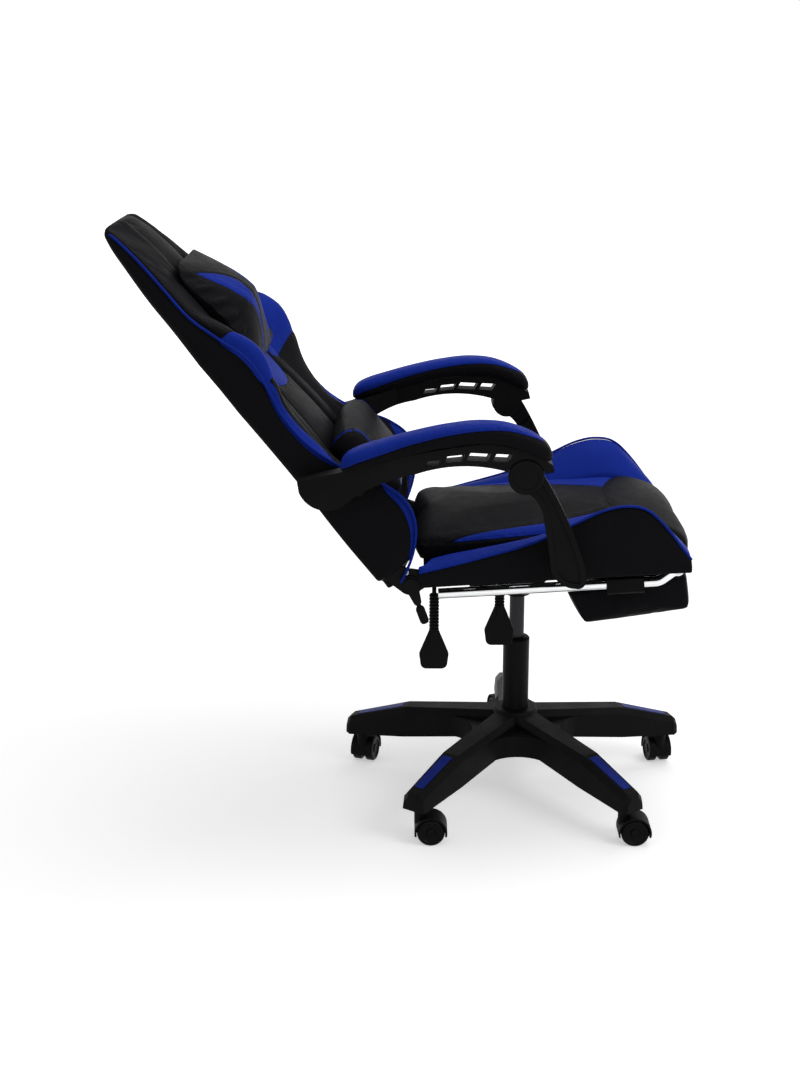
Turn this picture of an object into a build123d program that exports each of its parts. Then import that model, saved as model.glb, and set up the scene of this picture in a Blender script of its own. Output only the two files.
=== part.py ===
from build123d import *
import os
from math import atan2, cos, degrees, dist, hypot, pi, radians, sin, sqrt, tan

# Gaming chair. Millimetres and degrees. +Z is up, the chair faces -Y, the sitter's right is -X.
# The origin is where the swivel axis meets the floor.

# Star base
LEG_COUNT = 5
LEG_REACH = 340.0
LEG_ROOT_TOP_Z = 160.0
LEG_KNEE_TOP_Z = 137.0
LEG_TIP_TOP_Z = 100.0
LEG_ROOT_LOW_Z = 110.0
LEG_TIP_LOW_Z = 67.0
LEG_KNEE_RADIUS = 218.0
LEG_ROOT_WIDTH = 64.0
LEG_TIP_WIDTH = 46.0
LEG_EDGE_BEVEL = 11.0
LEG_WALL = 4.0
HUB_RADIUS = 44.0
WEB_RADIUS = 65.0
HUB_LOW_Z = 80.0
INLAY_WIDTH = 25.0
INLAY_DEPTH = 1.2
INLAY_PROUD = 0.8

# Casters
CASTER_RADIUS = 312.0
CASTER_TRAIL = 19.0
CASTER_TURNS = (20.0, 342.0, 270.0, 270.0, 10.0)
WHEEL_RADIUS = 25.0
WHEEL_WIDTH = 17.0
HOOD_WIDTH = 44.0
HOOD_WALL = 3.2
HOOD_WEB = 8.0
STEM_RADIUS = 5.5
STEM_REACH = 28.0
WHEEL_AXLE_RADIUS = 4.0

# Lift column, gas cylinder and piston
COLUMN_RADIUS = 25.0
COLUMN_TOP_Z = 298.0
COLUMN_WALL = 2.5
COLUMN_TAPER = 1.2
BUSH_LENGTH = 90.0
BUSH_COLLAR = 7.0
CYLINDER_RADIUS = 14.0
CYLINDER_LOW_Z = 175.0
CYLINDER_TOP_Z = 440.0
CYLINDER_TAPER = 1.0
PISTON_RADIUS = 5.0
PISTON_TOP_Z = 280.0
LIFT_DOWN = 75.0
BEARING_RADIUS = 15.0
BEARING_HEIGHT = 9.0
BUTTON_RADIUS = 4.0
BUTTON_HEIGHT = 7.0

# Tilt housing and mechanism plate
SOCKET_RADIUS = 24.0
SOCKET_LENGTH = 50.0
CHEEK_OUTER = 44.0
CHEEK_INNER = 31.0
TILT_AXLE_RADIUS = 6.0
TILT_AXLE_FORWARD = 75.0
TILT_AXLE_DROP = 34.0
TILT_LOBE = 12.0
PLATE_THICK = 3.0
PLATE_HALF_WIDTH = 95.0
PLATE_REAR = 176.0
PLATE_FRONT = 104.0
FLANGE_OUTER = 50.0
FLANGE_DEPTH = 46.0
PLATE_BOLT_X = 77.0
SPRING_REAR = 72.0
SPRING_RADIUS = 13.0
SPRING_WIRE = 4.4
SPRING_TURNS = 5
TONGUE_TOP_Z = 417.0

# Seat, measured on its own tilted base plane
SEAT_TILT = 3.5
SEAT_DATUM_Z = 494.0
SEAT_TUBE = 20.0
SEAT_FRAME_REAR = 178.0
SEAT_FRAME_FRONT = 246.0
SEAT_HALF = 264.0
SEAT_FRAME_HALF = SEAT_HALF - 42.0
CROSS_BAR_OFFSET = 77.0
WEBBING_THICK = 2.0
WEBBING_WIDTH = 50.0
CUSHION_HALF = SEAT_FRAME_HALF - 38.5
CUSHION_REAR = 192.0
CUSHION_FRONT = 296.0
CUSHION_TOP = 70.0
CUSHION_CROWN = 9.0
CUSHION_HEM = 3.0
CUSHION_WAIST = 3.0
CUSHION_REAR_FALL = 30.0
CUSHION_NOSE_FALL = 44.0
BOLSTER_REAR = 186.5
BOLSTER_FRONT = 284.0
BOLSTER_RIDGE = ((-190, 26), (-88, 46), (33, 76), (85, 99), (141, 121), (171, 125), (214, 113), (247, 76),
                 (270, 42), (284, 22))

# Recliner
HINGE_FORWARD = -202.0
HINGE_Z = 485.0
BACK_LEAN = 38.7
RECLINER_PLATE = 5.0
RECLINER_LOBE = 23.0
RECLINER_PIN_RADIUS = 7.0
RECLINE_ARM_THICK = 4.0
RECLINE_GRIP_RADIUS = 8.0
RECLINE_GRIP_DROP = 69.0
RECLINE_SLOPE = 0.36

# Back, measured along the back from the hinge and forward of the hinge line
BACK_TOP = 789.0
BACK_REAR = -39.0
BACK_TUBE_RADIUS = 10.5
BACK_TUBE_PLANE = -24.0
BACK_POCKET_FRONT = -12.5
BACK_PANEL_THICK = 2.5
HEAD_PILLOW_LOW = 452.0
HEAD_PILLOW_TOP = 668.0
HEAD_PILLOW_HALF = 142.0
HEAD_PILLOW_REAR_LOW = 20.8
HEAD_PILLOW_REAR_TOP = 9.8
HEAD_PILLOW_THICK = 66.0
LUMBAR_LOW = 118.0
LUMBAR_TOP = 264.0
LUMBAR_HALF = 158.0
LUMBAR_REAR = 16.75
LUMBAR_THICK = 69.0
PILLOW_SEAM = 0.3

# Armrests
ARM_CENTRE = SEAT_HALF + 36.0
ARM_FRAME_WIDTH = 36.0
ARM_PAD_WIDTH = 64.0
ARM_PAD_CROWN = 7.0
ARM_PAD_THICK = 37.0
DISC_FORWARD = -10.0
DISC_Z = 696.0
DISC_RADIUS = 30.0
DISC_THICK = 7.0
UPRIGHT_FOOT_FORWARD = 76.0
UPRIGHT_FOOT_Z = 522.0
UPRIGHT_TONGUE = 14.0
ARM_PIN_RADIUS = 6.0
TAIL_INNER = SEAT_HALF - 2.0
ARM_BRACKET = 4.0

# Levers
LEVER_ROD_RADIUS = 4.0
LEVER_ROD_Z = 452.0
LEVER_STEM_X = -140.0
LEVER_BEND = 18.0
SLEEVE_RADIUS = 9.0
SLEEVE_RIB_PITCH = 6.0
PADDLE_WIDTH = 54.0
PADDLE_HEIGHT = 73.0
PADDLE_THICK = 8.0
LEVER_PIVOT_RADIUS = 6.0
LEVER_PIVOT_WIDTH = 8.0
LIFT_STEM_FORWARD = -41.0
LIFT_PADDLE_TOP_Z = 410.0
LOCK_STEM_FORWARD = -159.0
LOCK_PADDLE_TOP_Z = 364.0

# Footrest
RAIL_X = 165.0
RAIL_RADIUS = 9.5
RAIL_WALL = 1.5
RAIL_DROP = 42.0
RAIL_REAR = 155.0
RAIL_BEND = 240.0
RAIL_TIP = 272.0
RAIL_TIP_DROP = 20.0
GUIDE_MIDDLE = 178.0
GUIDE_LENGTH = 66.0
GUIDE_WIDTH = 32.0
FOOT_ROD_RADIUS = 5.0
FOOT_PAD_HALF = 150.0
FOOT_PAD_LENGTH = 198.0
FOOT_PAD_THICK = 74.0
FOOT_PAD_CROWN = 8.0
FOOT_PAD_NOSE = 20.0
FOOT_PAD_SAG = 5.0
FOOT_BOARD_THICK = 6.0

# Fits
RUN = 0.05
SEAT_GAP = 0.3
FOAM_GAP = 0.5
BODY_GAP = 0.4
LEVER_PLAY = 1.0
OPEN_PIVOT_PLAY = 1.0

SEAT = Pos(0, 0, SEAT_DATUM_Z) * Rot(-SEAT_TILT, 0, 0)
BACK = Pos(0, -HINGE_FORWARD, HINGE_Z) * Rot(-BACK_LEAN, 0, 0)


def to_seat(forward, z):
    """A world place as forward and height on the tilted seat plane."""
    turn = radians(SEAT_TILT)
    rise = z - SEAT_DATUM_Z
    return forward * cos(turn) + rise * sin(turn), rise * cos(turn) - forward * sin(turn)


def from_seat(forward, height):
    """A place on the tilted seat plane as world forward and height."""
    turn = radians(SEAT_TILT)
    z = SEAT_DATUM_Z + forward * sin(turn) + height * cos(turn)
    return forward * cos(turn) - height * sin(turn), z


def to_back(forward, z):
    """A world place as distance forward of the hinge line and distance along the back."""
    turn = radians(BACK_LEAN)
    run = forward - HINGE_FORWARD
    rise = z - HINGE_Z
    return run * cos(turn) + rise * sin(turn), rise * cos(turn) - run * sin(turn)


# The arm, the upright, the back and the seat make a parallelogram, so the tail pivot follows.
TAIL_FORWARD = HINGE_FORWARD + DISC_FORWARD - UPRIGHT_FOOT_FORWARD
TAIL_Z = HINGE_Z + DISC_Z - UPRIGHT_FOOT_Z
TAIL_OUT, TAIL_UP = to_back(TAIL_FORWARD, TAIL_Z)
HINGE_A, HINGE_B = to_seat(HINGE_FORWARD, HINGE_Z)
FOOT_A, FOOT_B = to_seat(UPRIGHT_FOOT_FORWARD, UPRIGHT_FOOT_Z)
TILT_FORWARD, TILT_Z = from_seat(TILT_AXLE_FORWARD, -TILT_AXLE_DROP)
SEAT_PLATE_X = SEAT_FRAME_HALF
BACK_PLATE_X = SEAT_PLATE_X + RECLINER_PLATE + SEAT_GAP
LEVER_PLATE_X = BACK_PLATE_X + RECLINER_PLATE + SEAT_GAP
POCKET_HALF = BACK_PLATE_X + RECLINER_PLATE + FOAM_GAP
POCKET_LOW = -30.0
POCKET_WAIST = 330.0
POCKET_SHOULDER_HALF = 150.0
POCKET_SHOULDER = 612.0
POCKET_TOP_HALF = 124.0
POCKET_TOP = 716.0
LIFT_PIVOT_X = -(CHEEK_INNER + CHEEK_OUTER) / 2
LOCK_PIVOT_X = PLATE_THICK / 2 - FLANGE_OUTER
ARM_INNER = ARM_CENTRE - ARM_FRAME_WIDTH / 2
ARM_OUTER = ARM_CENTRE + ARM_FRAME_WIDTH / 2
TONGUE_INNER = ARM_INNER + ARM_FRAME_WIDTH / 2 - 2
TONGUE_OUTER = TONGUE_INNER + UPRIGHT_TONGUE
FOAM_BASE = SEAT_TUBE + WEBBING_THICK + SEAT_GAP


def both(shape):
    """A piece and its mirror image on the other side of the chair."""
    return Compound(children=[shape, mirror(shape, about=Plane.YZ)])


def rod_x(radius, low, high, forward, height):
    """A round bar across the chair, between two X places."""
    middle = (low + high) / 2
    return Pos(middle, -forward, height) * Rot(0, 90, 0) * Cylinder(radius, high - low)


def block(low_x, high_x, rear, front, low, high):
    """A box between two places across, forward and up."""
    size = Box(high_x - low_x, front - rear, high - low)
    return Pos((low_x + high_x) / 2, -(rear + front) / 2, (low + high) / 2) * size


def side_plate(face, low, high):
    """A face drawn as forward and height, made solid between two X places."""
    plane = Plane(origin=(low, 0, 0), x_dir=(0, -1, 0), z_dir=(-1, 0, 0))
    return extrude(plane * face, amount=-(high - low))


def link(first, second, first_radius, second_radius):
    """The straight-sided strap round two circles."""
    ends = Pos(*first) * Circle(first_radius) + Pos(*second) * Circle(second_radius)
    return make_hull(ends.edges())


def bulge(start, end, rise):
    """An arc between two points, standing off its chord to the left of the way it runs."""
    run, lift = end[0] - start[0], end[1] - start[1]
    length = hypot(run, lift)
    middle = (start[0] + end[0]) / 2 - lift / length * rise, (start[1] + end[1]) / 2 + run / length * rise
    return ThreePointArc(start, middle, end)


def turned(profile):
    """A profile of radius and height, turned about the swivel axis."""
    face = make_face(Polyline(*profile, close=True))
    return revolve(Plane.XZ * face, Axis.Z)


def leg_section(radius, low, top, width, inset):
    """One cross-section of a leg: leaning sides and a bevelled top, inset all round by a wall."""
    half = width / 2 - inset
    crest = width / 2 - LEG_EDGE_BEVEL - inset / 2
    shoulder = top - LEG_EDGE_BEVEL - inset / 2
    points = [(-half, low), (half, low), (half - 2, shoulder), (crest, top - inset)]
    points += [(-x, z) for x, z in reversed(points[2:])]
    plane = Plane(origin=(radius, 0, 0), x_dir=(0, 1, 0), z_dir=(1, 0, 0))
    return plane * make_face(Polyline(*points, close=True))


def leg_shape(radius):
    """Underside, top and width of a leg at a distance from the swivel axis."""
    share = radius / LEG_REACH
    flat = (CASTER_RADIUS - 4 * STEM_RADIUS) / LEG_REACH
    low = LEG_ROOT_LOW_Z + (LEG_TIP_LOW_Z - LEG_ROOT_LOW_Z) * min(1, share / flat)
    width = LEG_ROOT_WIDTH + (LEG_TIP_WIDTH - LEG_ROOT_WIDTH) * share
    if radius <= LEG_KNEE_RADIUS:
        return low, LEG_ROOT_TOP_Z + (LEG_KNEE_TOP_Z - LEG_ROOT_TOP_Z) * radius / LEG_KNEE_RADIUS, width
    fall = (radius - LEG_KNEE_RADIUS) / (LEG_REACH - LEG_KNEE_RADIUS)
    return low, LEG_KNEE_TOP_Z + (LEG_TIP_TOP_Z - LEG_KNEE_TOP_Z) * fall, width


def inlay(grow):
    """The coloured strip let into the sloping top of a leg."""
    sections = []
    for radius in (LEG_KNEE_RADIUS + 8 - grow, LEG_REACH - 22 + grow):
        low, top, width = leg_shape(radius)
        half = INLAY_WIDTH / 2 * width / LEG_ROOT_WIDTH + grow
        plane = Plane(origin=(radius, 0, 0), x_dir=(0, 1, 0), z_dir=(1, 0, 0))
        height = INLAY_DEPTH + INLAY_PROUD
        face = Pos(0, top - INLAY_DEPTH + height / 2) * Rectangle(2 * half, height)
        sections.append(plane * face)
    return loft(sections, ruled=True)


def hub_bore():
    """The tapered hole that the column wedges into."""
    low = COLUMN_RADIUS - COLUMN_TAPER + RUN
    top = COLUMN_RADIUS + RUN
    foot, mouth = HUB_LOW_Z - 1, LEG_ROOT_TOP_Z + 2
    return turned([(0, foot), (low, foot), (top, mouth), (0, mouth)])


def leg_web():
    """Rounded inner corner between two legs, about +X: a skin and a curved wall, open below."""
    turn = pi / LEG_COUNT
    low, top, width = leg_shape(HUB_RADIUS + WEB_RADIUS)
    corner = (width / 2 - LEG_WALL / 2) / sin(turn)
    run = WEB_RADIUS / tan(turn)
    end = (corner + run * cos(turn), run * sin(turn))
    middle = (corner + WEB_RADIUS / sin(turn) - WEB_RADIUS, 0)
    mirrored = (end[0], -end[1])
    start = (corner, 0)
    plan = make_face([Line(start, mirrored), ThreePointArc(mirrored, middle, end), Line(end, start)])
    height = top - LEG_EDGE_BEVEL - 2 - low
    web = extrude(plan, amount=height)
    web -= extrude(offset(plan, -LEG_WALL), amount=height - LEG_WALL)
    return Pos(0, 0, low) * web


def star_base():
    """Moulded base: five bevelled legs with rounded corners between, hollow and ribbed below."""
    socket_start = CASTER_RADIUS - 3 * STEM_RADIUS
    stations = (HUB_RADIUS - 12, LEG_KNEE_RADIUS, LEG_REACH - 8, LEG_REACH)
    sections = [leg_section(r, *leg_shape(r), 0) for r in stations[:-1]]
    low, top, width = leg_shape(LEG_REACH)
    sections.append(leg_section(LEG_REACH, low + 3, top - 5, width - 8, 0))
    leg = loft(sections, ruled=True)
    bay_ends = (HUB_RADIUS + LEG_WALL, (HUB_RADIUS + LEG_KNEE_RADIUS) / 2, LEG_KNEE_RADIUS, socket_start)
    for start, end in zip(bay_ends[:-1], bay_ends[1:]):
        bay = []
        for radius in (start + LEG_WALL / 2, end - LEG_WALL / 2):
            low, top, width = leg_shape(radius)
            bay.append(leg_section(radius, low - 2, top, width, LEG_WALL))
        leg -= loft(bay, ruled=True)
    leg -= Pos(CASTER_RADIUS, 0, LEG_TIP_LOW_Z - 1) * Cylinder(
        STEM_RADIUS + RUN, STEM_REACH + 2, align=(Align.CENTER, Align.CENTER, Align.MIN))
    leg -= inlay(RUN)
    edge = LEG_EDGE_BEVEL / 2
    hub = turned([(0, HUB_LOW_Z), (HUB_RADIUS, HUB_LOW_Z), (HUB_RADIUS, LEG_ROOT_TOP_Z - edge),
                  (HUB_RADIUS - edge, LEG_ROOT_TOP_Z + 1), (0, LEG_ROOT_TOP_Z + 1)])
    for index in range(LEG_COUNT):
        hub += Rot(0, 0, 360 * index / LEG_COUNT) * leg
        hub += Rot(0, 0, 360 * (index + 0.5) / LEG_COUNT) * leg_web()
    return hub - hub_bore()


def leg_inlays():
    """The five coloured strips."""
    return Compound(children=[Rot(0, 0, 360 * i / LEG_COUNT) * inlay(0) for i in range(LEG_COUNT)])


def caster_place(index):
    """Where a caster's swivel axis stands and which way it trails."""
    place = Rot(0, 0, 360 * index / LEG_COUNT) * Pos(CASTER_RADIUS, 0, 0)
    return Pos(*place.position) * Rot(0, 0, CASTER_TURNS[index])


def caster_hood():
    """Moulded hood: a web between the wheels, a cover over them and a neck for the stem."""
    cover = WHEEL_RADIUS + HOOD_WALL + 1.5
    lie = Pos(CASTER_TRAIL, 0, WHEEL_RADIUS) * Rot(90, 0, 0)
    hood = lie * Cylinder(cover, HOOD_WIDTH)
    offset = (HOOD_WEB + HOOD_WIDTH) / 2
    for side in (-offset, offset):
        hood -= Pos(0, side, 0) * lie * Cylinder(WHEEL_RADIUS + 1.5, HOOD_WIDTH)
    hood -= Pos(CASTER_TRAIL, 0, 0) * Box(3 * cover, 2 * HOOD_WIDTH, 2 * WHEEL_RADIUS - 14)
    hood += lie * Cylinder(2.2 * WHEEL_AXLE_RADIUS, HOOD_WEB)
    neck_top = LEG_TIP_LOW_Z - SEAT_GAP
    neck_low = WHEEL_RADIUS + 12
    hood += Pos(0, 0, neck_low) * Cylinder(
        2 * STEM_RADIUS, neck_top - neck_low, align=(Align.CENTER, Align.CENTER, Align.MIN))
    for side in (-offset, offset):
        hood -= Pos(0, side, 0) * lie * Cylinder(WHEEL_RADIUS + 1.5, HOOD_WIDTH)
    hood -= lie * Cylinder(WHEEL_AXLE_RADIUS + RUN, HOOD_WIDTH)
    hood -= Pos(0, 0, neck_top - 18) * Cylinder(
        STEM_RADIUS + RUN, 30, align=(Align.CENTER, Align.CENTER, Align.MIN))
    return hood


def caster_pins():
    """Steel stem with its head in the hood, and the wheel axle."""
    neck_top = LEG_TIP_LOW_Z - SEAT_GAP
    stem = Pos(0, 0, neck_top - 18 + RUN) * Cylinder(
        STEM_RADIUS, STEM_REACH + 18 - 1, align=(Align.CENTER, Align.CENTER, Align.MIN))
    axle = Pos(CASTER_TRAIL, 0, WHEEL_RADIUS) * Rot(90, 0, 0) * Cylinder(
        WHEEL_AXLE_RADIUS, HOOD_WEB + 2 * WHEEL_WIDTH - 1)
    return Compound(children=[stem, axle])


def caster_wheels():
    """Two wheels with a rounded tread and a dished outer face."""
    inner = HOOD_WEB / 2 + SEAT_GAP
    outer = inner + WHEEL_WIDTH
    bore = WHEEL_AXLE_RADIUS + RUN
    edge = 2.5
    dish = WHEEL_RADIUS - 6
    tread = [(bore, inner), (WHEEL_RADIUS - edge, inner), (WHEEL_RADIUS, inner + edge),
             (WHEEL_RADIUS, outer - edge), (WHEEL_RADIUS - edge, outer), (dish, outer),
             (dish - 2, outer - 2), (bore + 5, outer - 3), (bore + 3, outer), (bore, outer)]
    wheel = turned(tread)
    pair = [Rot(90, 0, 0) * wheel, Rot(-90, 0, 0) * wheel]
    return Pos(CASTER_TRAIL, 0, WHEEL_RADIUS) * Compound(children=pair)


def column_floor():
    """Height of the closed end inside the column."""
    return HUB_LOW_Z + 2 + COLUMN_WALL


def lift_column():
    """Outer tube of the lift: a wedge fit in the hub, a closed foot with a hole for the piston."""
    inner = COLUMN_RADIUS - COLUMN_TAPER - COLUMN_WALL
    foot = HUB_LOW_Z + 2
    wedge = COLUMN_RADIUS - COLUMN_TAPER * (LEG_ROOT_TOP_Z - HUB_LOW_Z) / (LEG_ROOT_TOP_Z - HUB_LOW_Z + 3)
    hole = PISTON_RADIUS + RUN
    outer = [(wedge, foot), (COLUMN_RADIUS, LEG_ROOT_TOP_Z + 2), (COLUMN_RADIUS, COLUMN_TOP_Z)]
    bore = [(inner, COLUMN_TOP_Z), (inner, column_floor()), (hole, column_floor())]
    return turned([(hole, foot), *outer, *bore])


def column_bush():
    """Plastic guide in the mouth of the column, with a rounded collar on its rim."""
    shell = COLUMN_RADIUS - COLUMN_TAPER - COLUMN_WALL - RUN
    bore = CYLINDER_RADIUS + RUN
    low, rim = COLUMN_TOP_Z - BUSH_LENGTH, COLUMN_TOP_Z
    top = rim + BUSH_COLLAR
    return turned([(bore, low), (shell, low), (shell, rim), (COLUMN_RADIUS, rim), (COLUMN_RADIUS, rim + 3),
                   (COLUMN_RADIUS - 2, rim + 5.5), (COLUMN_RADIUS - 5, top), (bore, top)])


def thrust_bearing():
    """Two races and the ball cage between them, at the foot of the piston."""
    floor = column_floor()
    race = BEARING_HEIGHT / 3
    bore = PISTON_RADIUS + RUN
    rings = []
    for step, radius in enumerate((BEARING_RADIUS, BEARING_RADIUS - 1.5, BEARING_RADIUS)):
        low, top = floor + step * race, floor + (step + 1) * race
        rings.append(turned([(bore, low), (radius, low), (radius, top), (bore, top)]))
    return Compound(children=rings)


def piston_rod():
    """Ground rod with a shoulder on the bearing and a clip head below the column's foot."""
    shoulder = column_floor() + BEARING_HEIGHT + RUN
    foot = HUB_LOW_Z + 2 - RUN
    head = PISTON_RADIUS + 3
    clip = [(0, foot - 5), (head, foot - 5), (head, foot), (PISTON_RADIUS, foot)]
    collar = [(PISTON_RADIUS, shoulder), (head, shoulder), (head, shoulder + 3)]
    rod = [(PISTON_RADIUS, shoulder + 3), (PISTON_RADIUS, PISTON_TOP_Z), (0, PISTON_TOP_Z)]
    return turned([*clip, *collar, *rod])


def socket_low():
    """Lower rim of the tapered socket."""
    return CYLINDER_TOP_Z - SOCKET_LENGTH


def gas_cylinder():
    """Gas spring body: open below for the piston, a taper on top and a well for the button."""
    bore = PISTON_RADIUS + RUN
    neck = CYLINDER_RADIUS - CYLINDER_TAPER
    well = BUTTON_RADIUS + RUN
    well_low = CYLINDER_TOP_Z - 20
    bore_top = PISTON_TOP_Z + LIFT_DOWN + 5
    outer = [(CYLINDER_RADIUS, CYLINDER_LOW_Z), (CYLINDER_RADIUS, socket_low()), (neck, CYLINDER_TOP_Z)]
    inner = [(well, CYLINDER_TOP_Z), (well, well_low), (0, well_low), (0, bore_top), (bore, bore_top),
             (bore, CYLINDER_LOW_Z)]
    return turned(outer + inner)


def release_button():
    """Valve button on top of the gas cylinder."""
    height = BUTTON_HEIGHT + 12
    return Pos(0, 0, CYLINDER_TOP_Z - 12) * Cylinder(
        BUTTON_RADIUS, height, align=(Align.CENTER, Align.CENTER, Align.MIN))


def lever_pivot(x, forward, grow):
    """Barrel across a lever's rod that it rocks on, or its pocket where it is grown."""
    barrel = Cylinder(LEVER_PIVOT_RADIUS + grow, LEVER_PIVOT_WIDTH + 2 * grow)
    return Pos(x, -forward, LEVER_ROD_Z) * Rot(90, 0, 0) * barrel


def tilt_housing():
    """Pressed housing: tapered socket for the cylinder, two cheeks to the tilt axle, a spring tongue."""
    low = socket_low()
    lobe = TILT_LOBE + 1
    rear = SOCKET_RADIUS + 6
    crest = LEVER_ROD_Z + 9
    points = [(-rear, low + 14), (-rear, LEVER_ROD_Z - 2), (-12, crest), (12, crest),
              (TILT_FORWARD - 4, TILT_Z + lobe - 1), (TILT_FORWARD, TILT_Z - lobe),
              (SOCKET_RADIUS, low + 14)]
    profile = make_face(Polyline(*points, close=True)) + Pos(TILT_FORWARD, TILT_Z) * Circle(lobe)
    body = side_plate(profile, -CHEEK_OUTER, CHEEK_OUTER)
    front = TILT_FORWARD + 2 * lobe
    body -= block(-CHEEK_INNER, CHEEK_INNER, -2 * rear, front, CYLINDER_TOP_Z + SEAT_GAP, TILT_Z + 40)
    body += Pos(0, 0, low) * Cylinder(
        SOCKET_RADIUS, SOCKET_LENGTH, align=(Align.CENTER, Align.CENTER, Align.MIN))
    tongue_low = TONGUE_TOP_Z - 9
    tongue_half = SPRING_RADIUS + 6
    body += block(-tongue_half, tongue_half, -SPRING_REAR - tongue_half, 0, tongue_low, TONGUE_TOP_Z)
    body += Pos(0, SPRING_REAR, TONGUE_TOP_Z) * Cylinder(
        SPRING_RADIUS - SPRING_WIRE, 9, align=(Align.CENTER, Align.CENTER, Align.MIN))
    neck = CYLINDER_RADIUS - CYLINDER_TAPER
    body -= turned([(0, low - 1), (CYLINDER_RADIUS + RUN, low - 1), (CYLINDER_RADIUS + RUN, low),
                    (neck + RUN, CYLINDER_TOP_Z), (neck + RUN, CYLINDER_TOP_Z + 1), (0, CYLINDER_TOP_Z + 1)])
    body -= rod_x(TILT_AXLE_RADIUS + RUN, -2 * CHEEK_OUTER, 2 * CHEEK_OUTER, TILT_FORWARD, TILT_Z)
    body -= rod_x(LEVER_ROD_RADIUS + LEVER_PLAY, -2 * CHEEK_OUTER, -CHEEK_INNER + 1, 0, LEVER_ROD_Z)
    return body - lever_pivot(LIFT_PIVOT_X, 0, SEAT_GAP)


def seat_plate():
    """Folded mechanism plate: a top bolted to the seat frame and two flanges that carry the axle."""
    face = make_face(Polyline((-PLATE_REAR, 0), (PLATE_FRONT, 0), (PLATE_FRONT, -12),
                              (TILT_AXLE_FORWARD + TILT_LOBE, -TILT_AXLE_DROP),
                              (TILT_AXLE_FORWARD - TILT_LOBE, -FLANGE_DEPTH),
                              (32, -FLANGE_DEPTH), (24, -14), (-44, -14), (-52, -FLANGE_DEPTH),
                              (-PLATE_REAR + 10, -FLANGE_DEPTH), (-PLATE_REAR, -12), close=True))
    face += Pos(TILT_AXLE_FORWARD, -TILT_AXLE_DROP) * Circle(TILT_LOBE)
    lock_a, lock_b = to_seat(LOCK_STEM_FORWARD, LEVER_ROD_Z)
    flange = side_plate(face, FLANGE_OUTER - PLATE_THICK, FLANGE_OUTER)
    flange -= rod_x(TILT_AXLE_RADIUS + RUN, 0, 2 * FLANGE_OUTER, TILT_AXLE_FORWARD, -TILT_AXLE_DROP)
    flange -= rod_x(LEVER_ROD_RADIUS + LEVER_PLAY, 0, 2 * FLANGE_OUTER, lock_a, lock_b)
    plate = block(-PLATE_HALF_WIDTH, PLATE_HALF_WIDTH, -PLATE_REAR, PLATE_FRONT, -PLATE_THICK, 0)
    corners = plate.edges().filter_by(Axis.Z)
    plate = fillet(corners, 14)
    for x in (-PLATE_BOLT_X, PLATE_BOLT_X):
        for forward in (-CROSS_BAR_OFFSET, CROSS_BAR_OFFSET):
            plate -= Pos(x, -forward, 0) * Cylinder(4 + RUN, 4 * PLATE_THICK)
    plate += flange + mirror(flange, about=Plane.YZ)
    return SEAT * plate - lever_pivot(LOCK_PIVOT_X, LOCK_STEM_FORWARD, SEAT_GAP)


def tilt_axle():
    """Pin through both flanges and the housing, with a head at each end."""
    reach = FLANGE_OUTER + RUN
    pin = rod_x(TILT_AXLE_RADIUS, -reach, reach, TILT_AXLE_FORWARD, -TILT_AXLE_DROP)
    for low in (-reach - 3, reach):
        pin += rod_x(TILT_AXLE_RADIUS + 3, low, low + 3, TILT_AXLE_FORWARD, -TILT_AXLE_DROP)
    return SEAT * pin


def spring_span():
    """Lowest wire centre and rise of the tilt spring, between the tongue and the plate."""
    front = from_seat(-SPRING_REAR - SPRING_RADIUS, -PLATE_THICK)[1]
    low = TONGUE_TOP_Z + SPRING_WIRE / 2 + SEAT_GAP
    return low, front - SPRING_WIRE / 2 - SEAT_GAP - low


def helix_point(turn):
    """A place on the tilt spring's wire after a number of turns, and the way the wire runs there."""
    low, rise = spring_span()
    centre = SPRING_RADIUS - SPRING_WIRE / 2
    angle = 2 * pi * turn
    place = Vector(centre * cos(angle), SPRING_REAR + centre * sin(angle), low + rise * turn / SPRING_TURNS)
    run = Vector(-centre * sin(angle), centre * cos(angle), rise / SPRING_TURNS / (2 * pi))
    return place, run.normalized()


def biarc(start, leave, end, arrive):
    """Two tangent arcs from one place and direction to another."""
    chord, both_ways = end - start, leave + arrive
    spread = 2 * (1 - leave.dot(arrive))
    along = chord.dot(both_ways)
    reach = (sqrt(along * along + spread * chord.dot(chord)) - along) / spread
    joint = (start + end + (leave - arrive) * reach) * 0.5
    return [TangentArc(start, joint, tangent=leave), TangentArc(end, joint, tangent=arrive * -1)]


def tilt_spring():
    """Compression spring under the rear of the plate: one wire on half turns of tangent arcs."""
    stops = [helix_point(half_turn / 2) for half_turn in range(2 * SPRING_TURNS + 1)]
    arcs = [arc for first, second in zip(stops, stops[1:]) for arc in biarc(*first, *second)]
    start, run = stops[0]
    wire = sweep(Plane(origin=start, z_dir=run) * Circle(SPRING_WIRE / 2), path=Wire(arcs))
    steps = 24
    points = [tuple(helix_point(step / steps)[0]) for step in range(steps * SPRING_TURNS + 1)]
    least = min(dist(p, q) for i, p in enumerate(points) for q in points[i + steps // 2:])
    print("tilt spring least gap", round(least - SPRING_WIRE, 2))
    return wire


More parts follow.
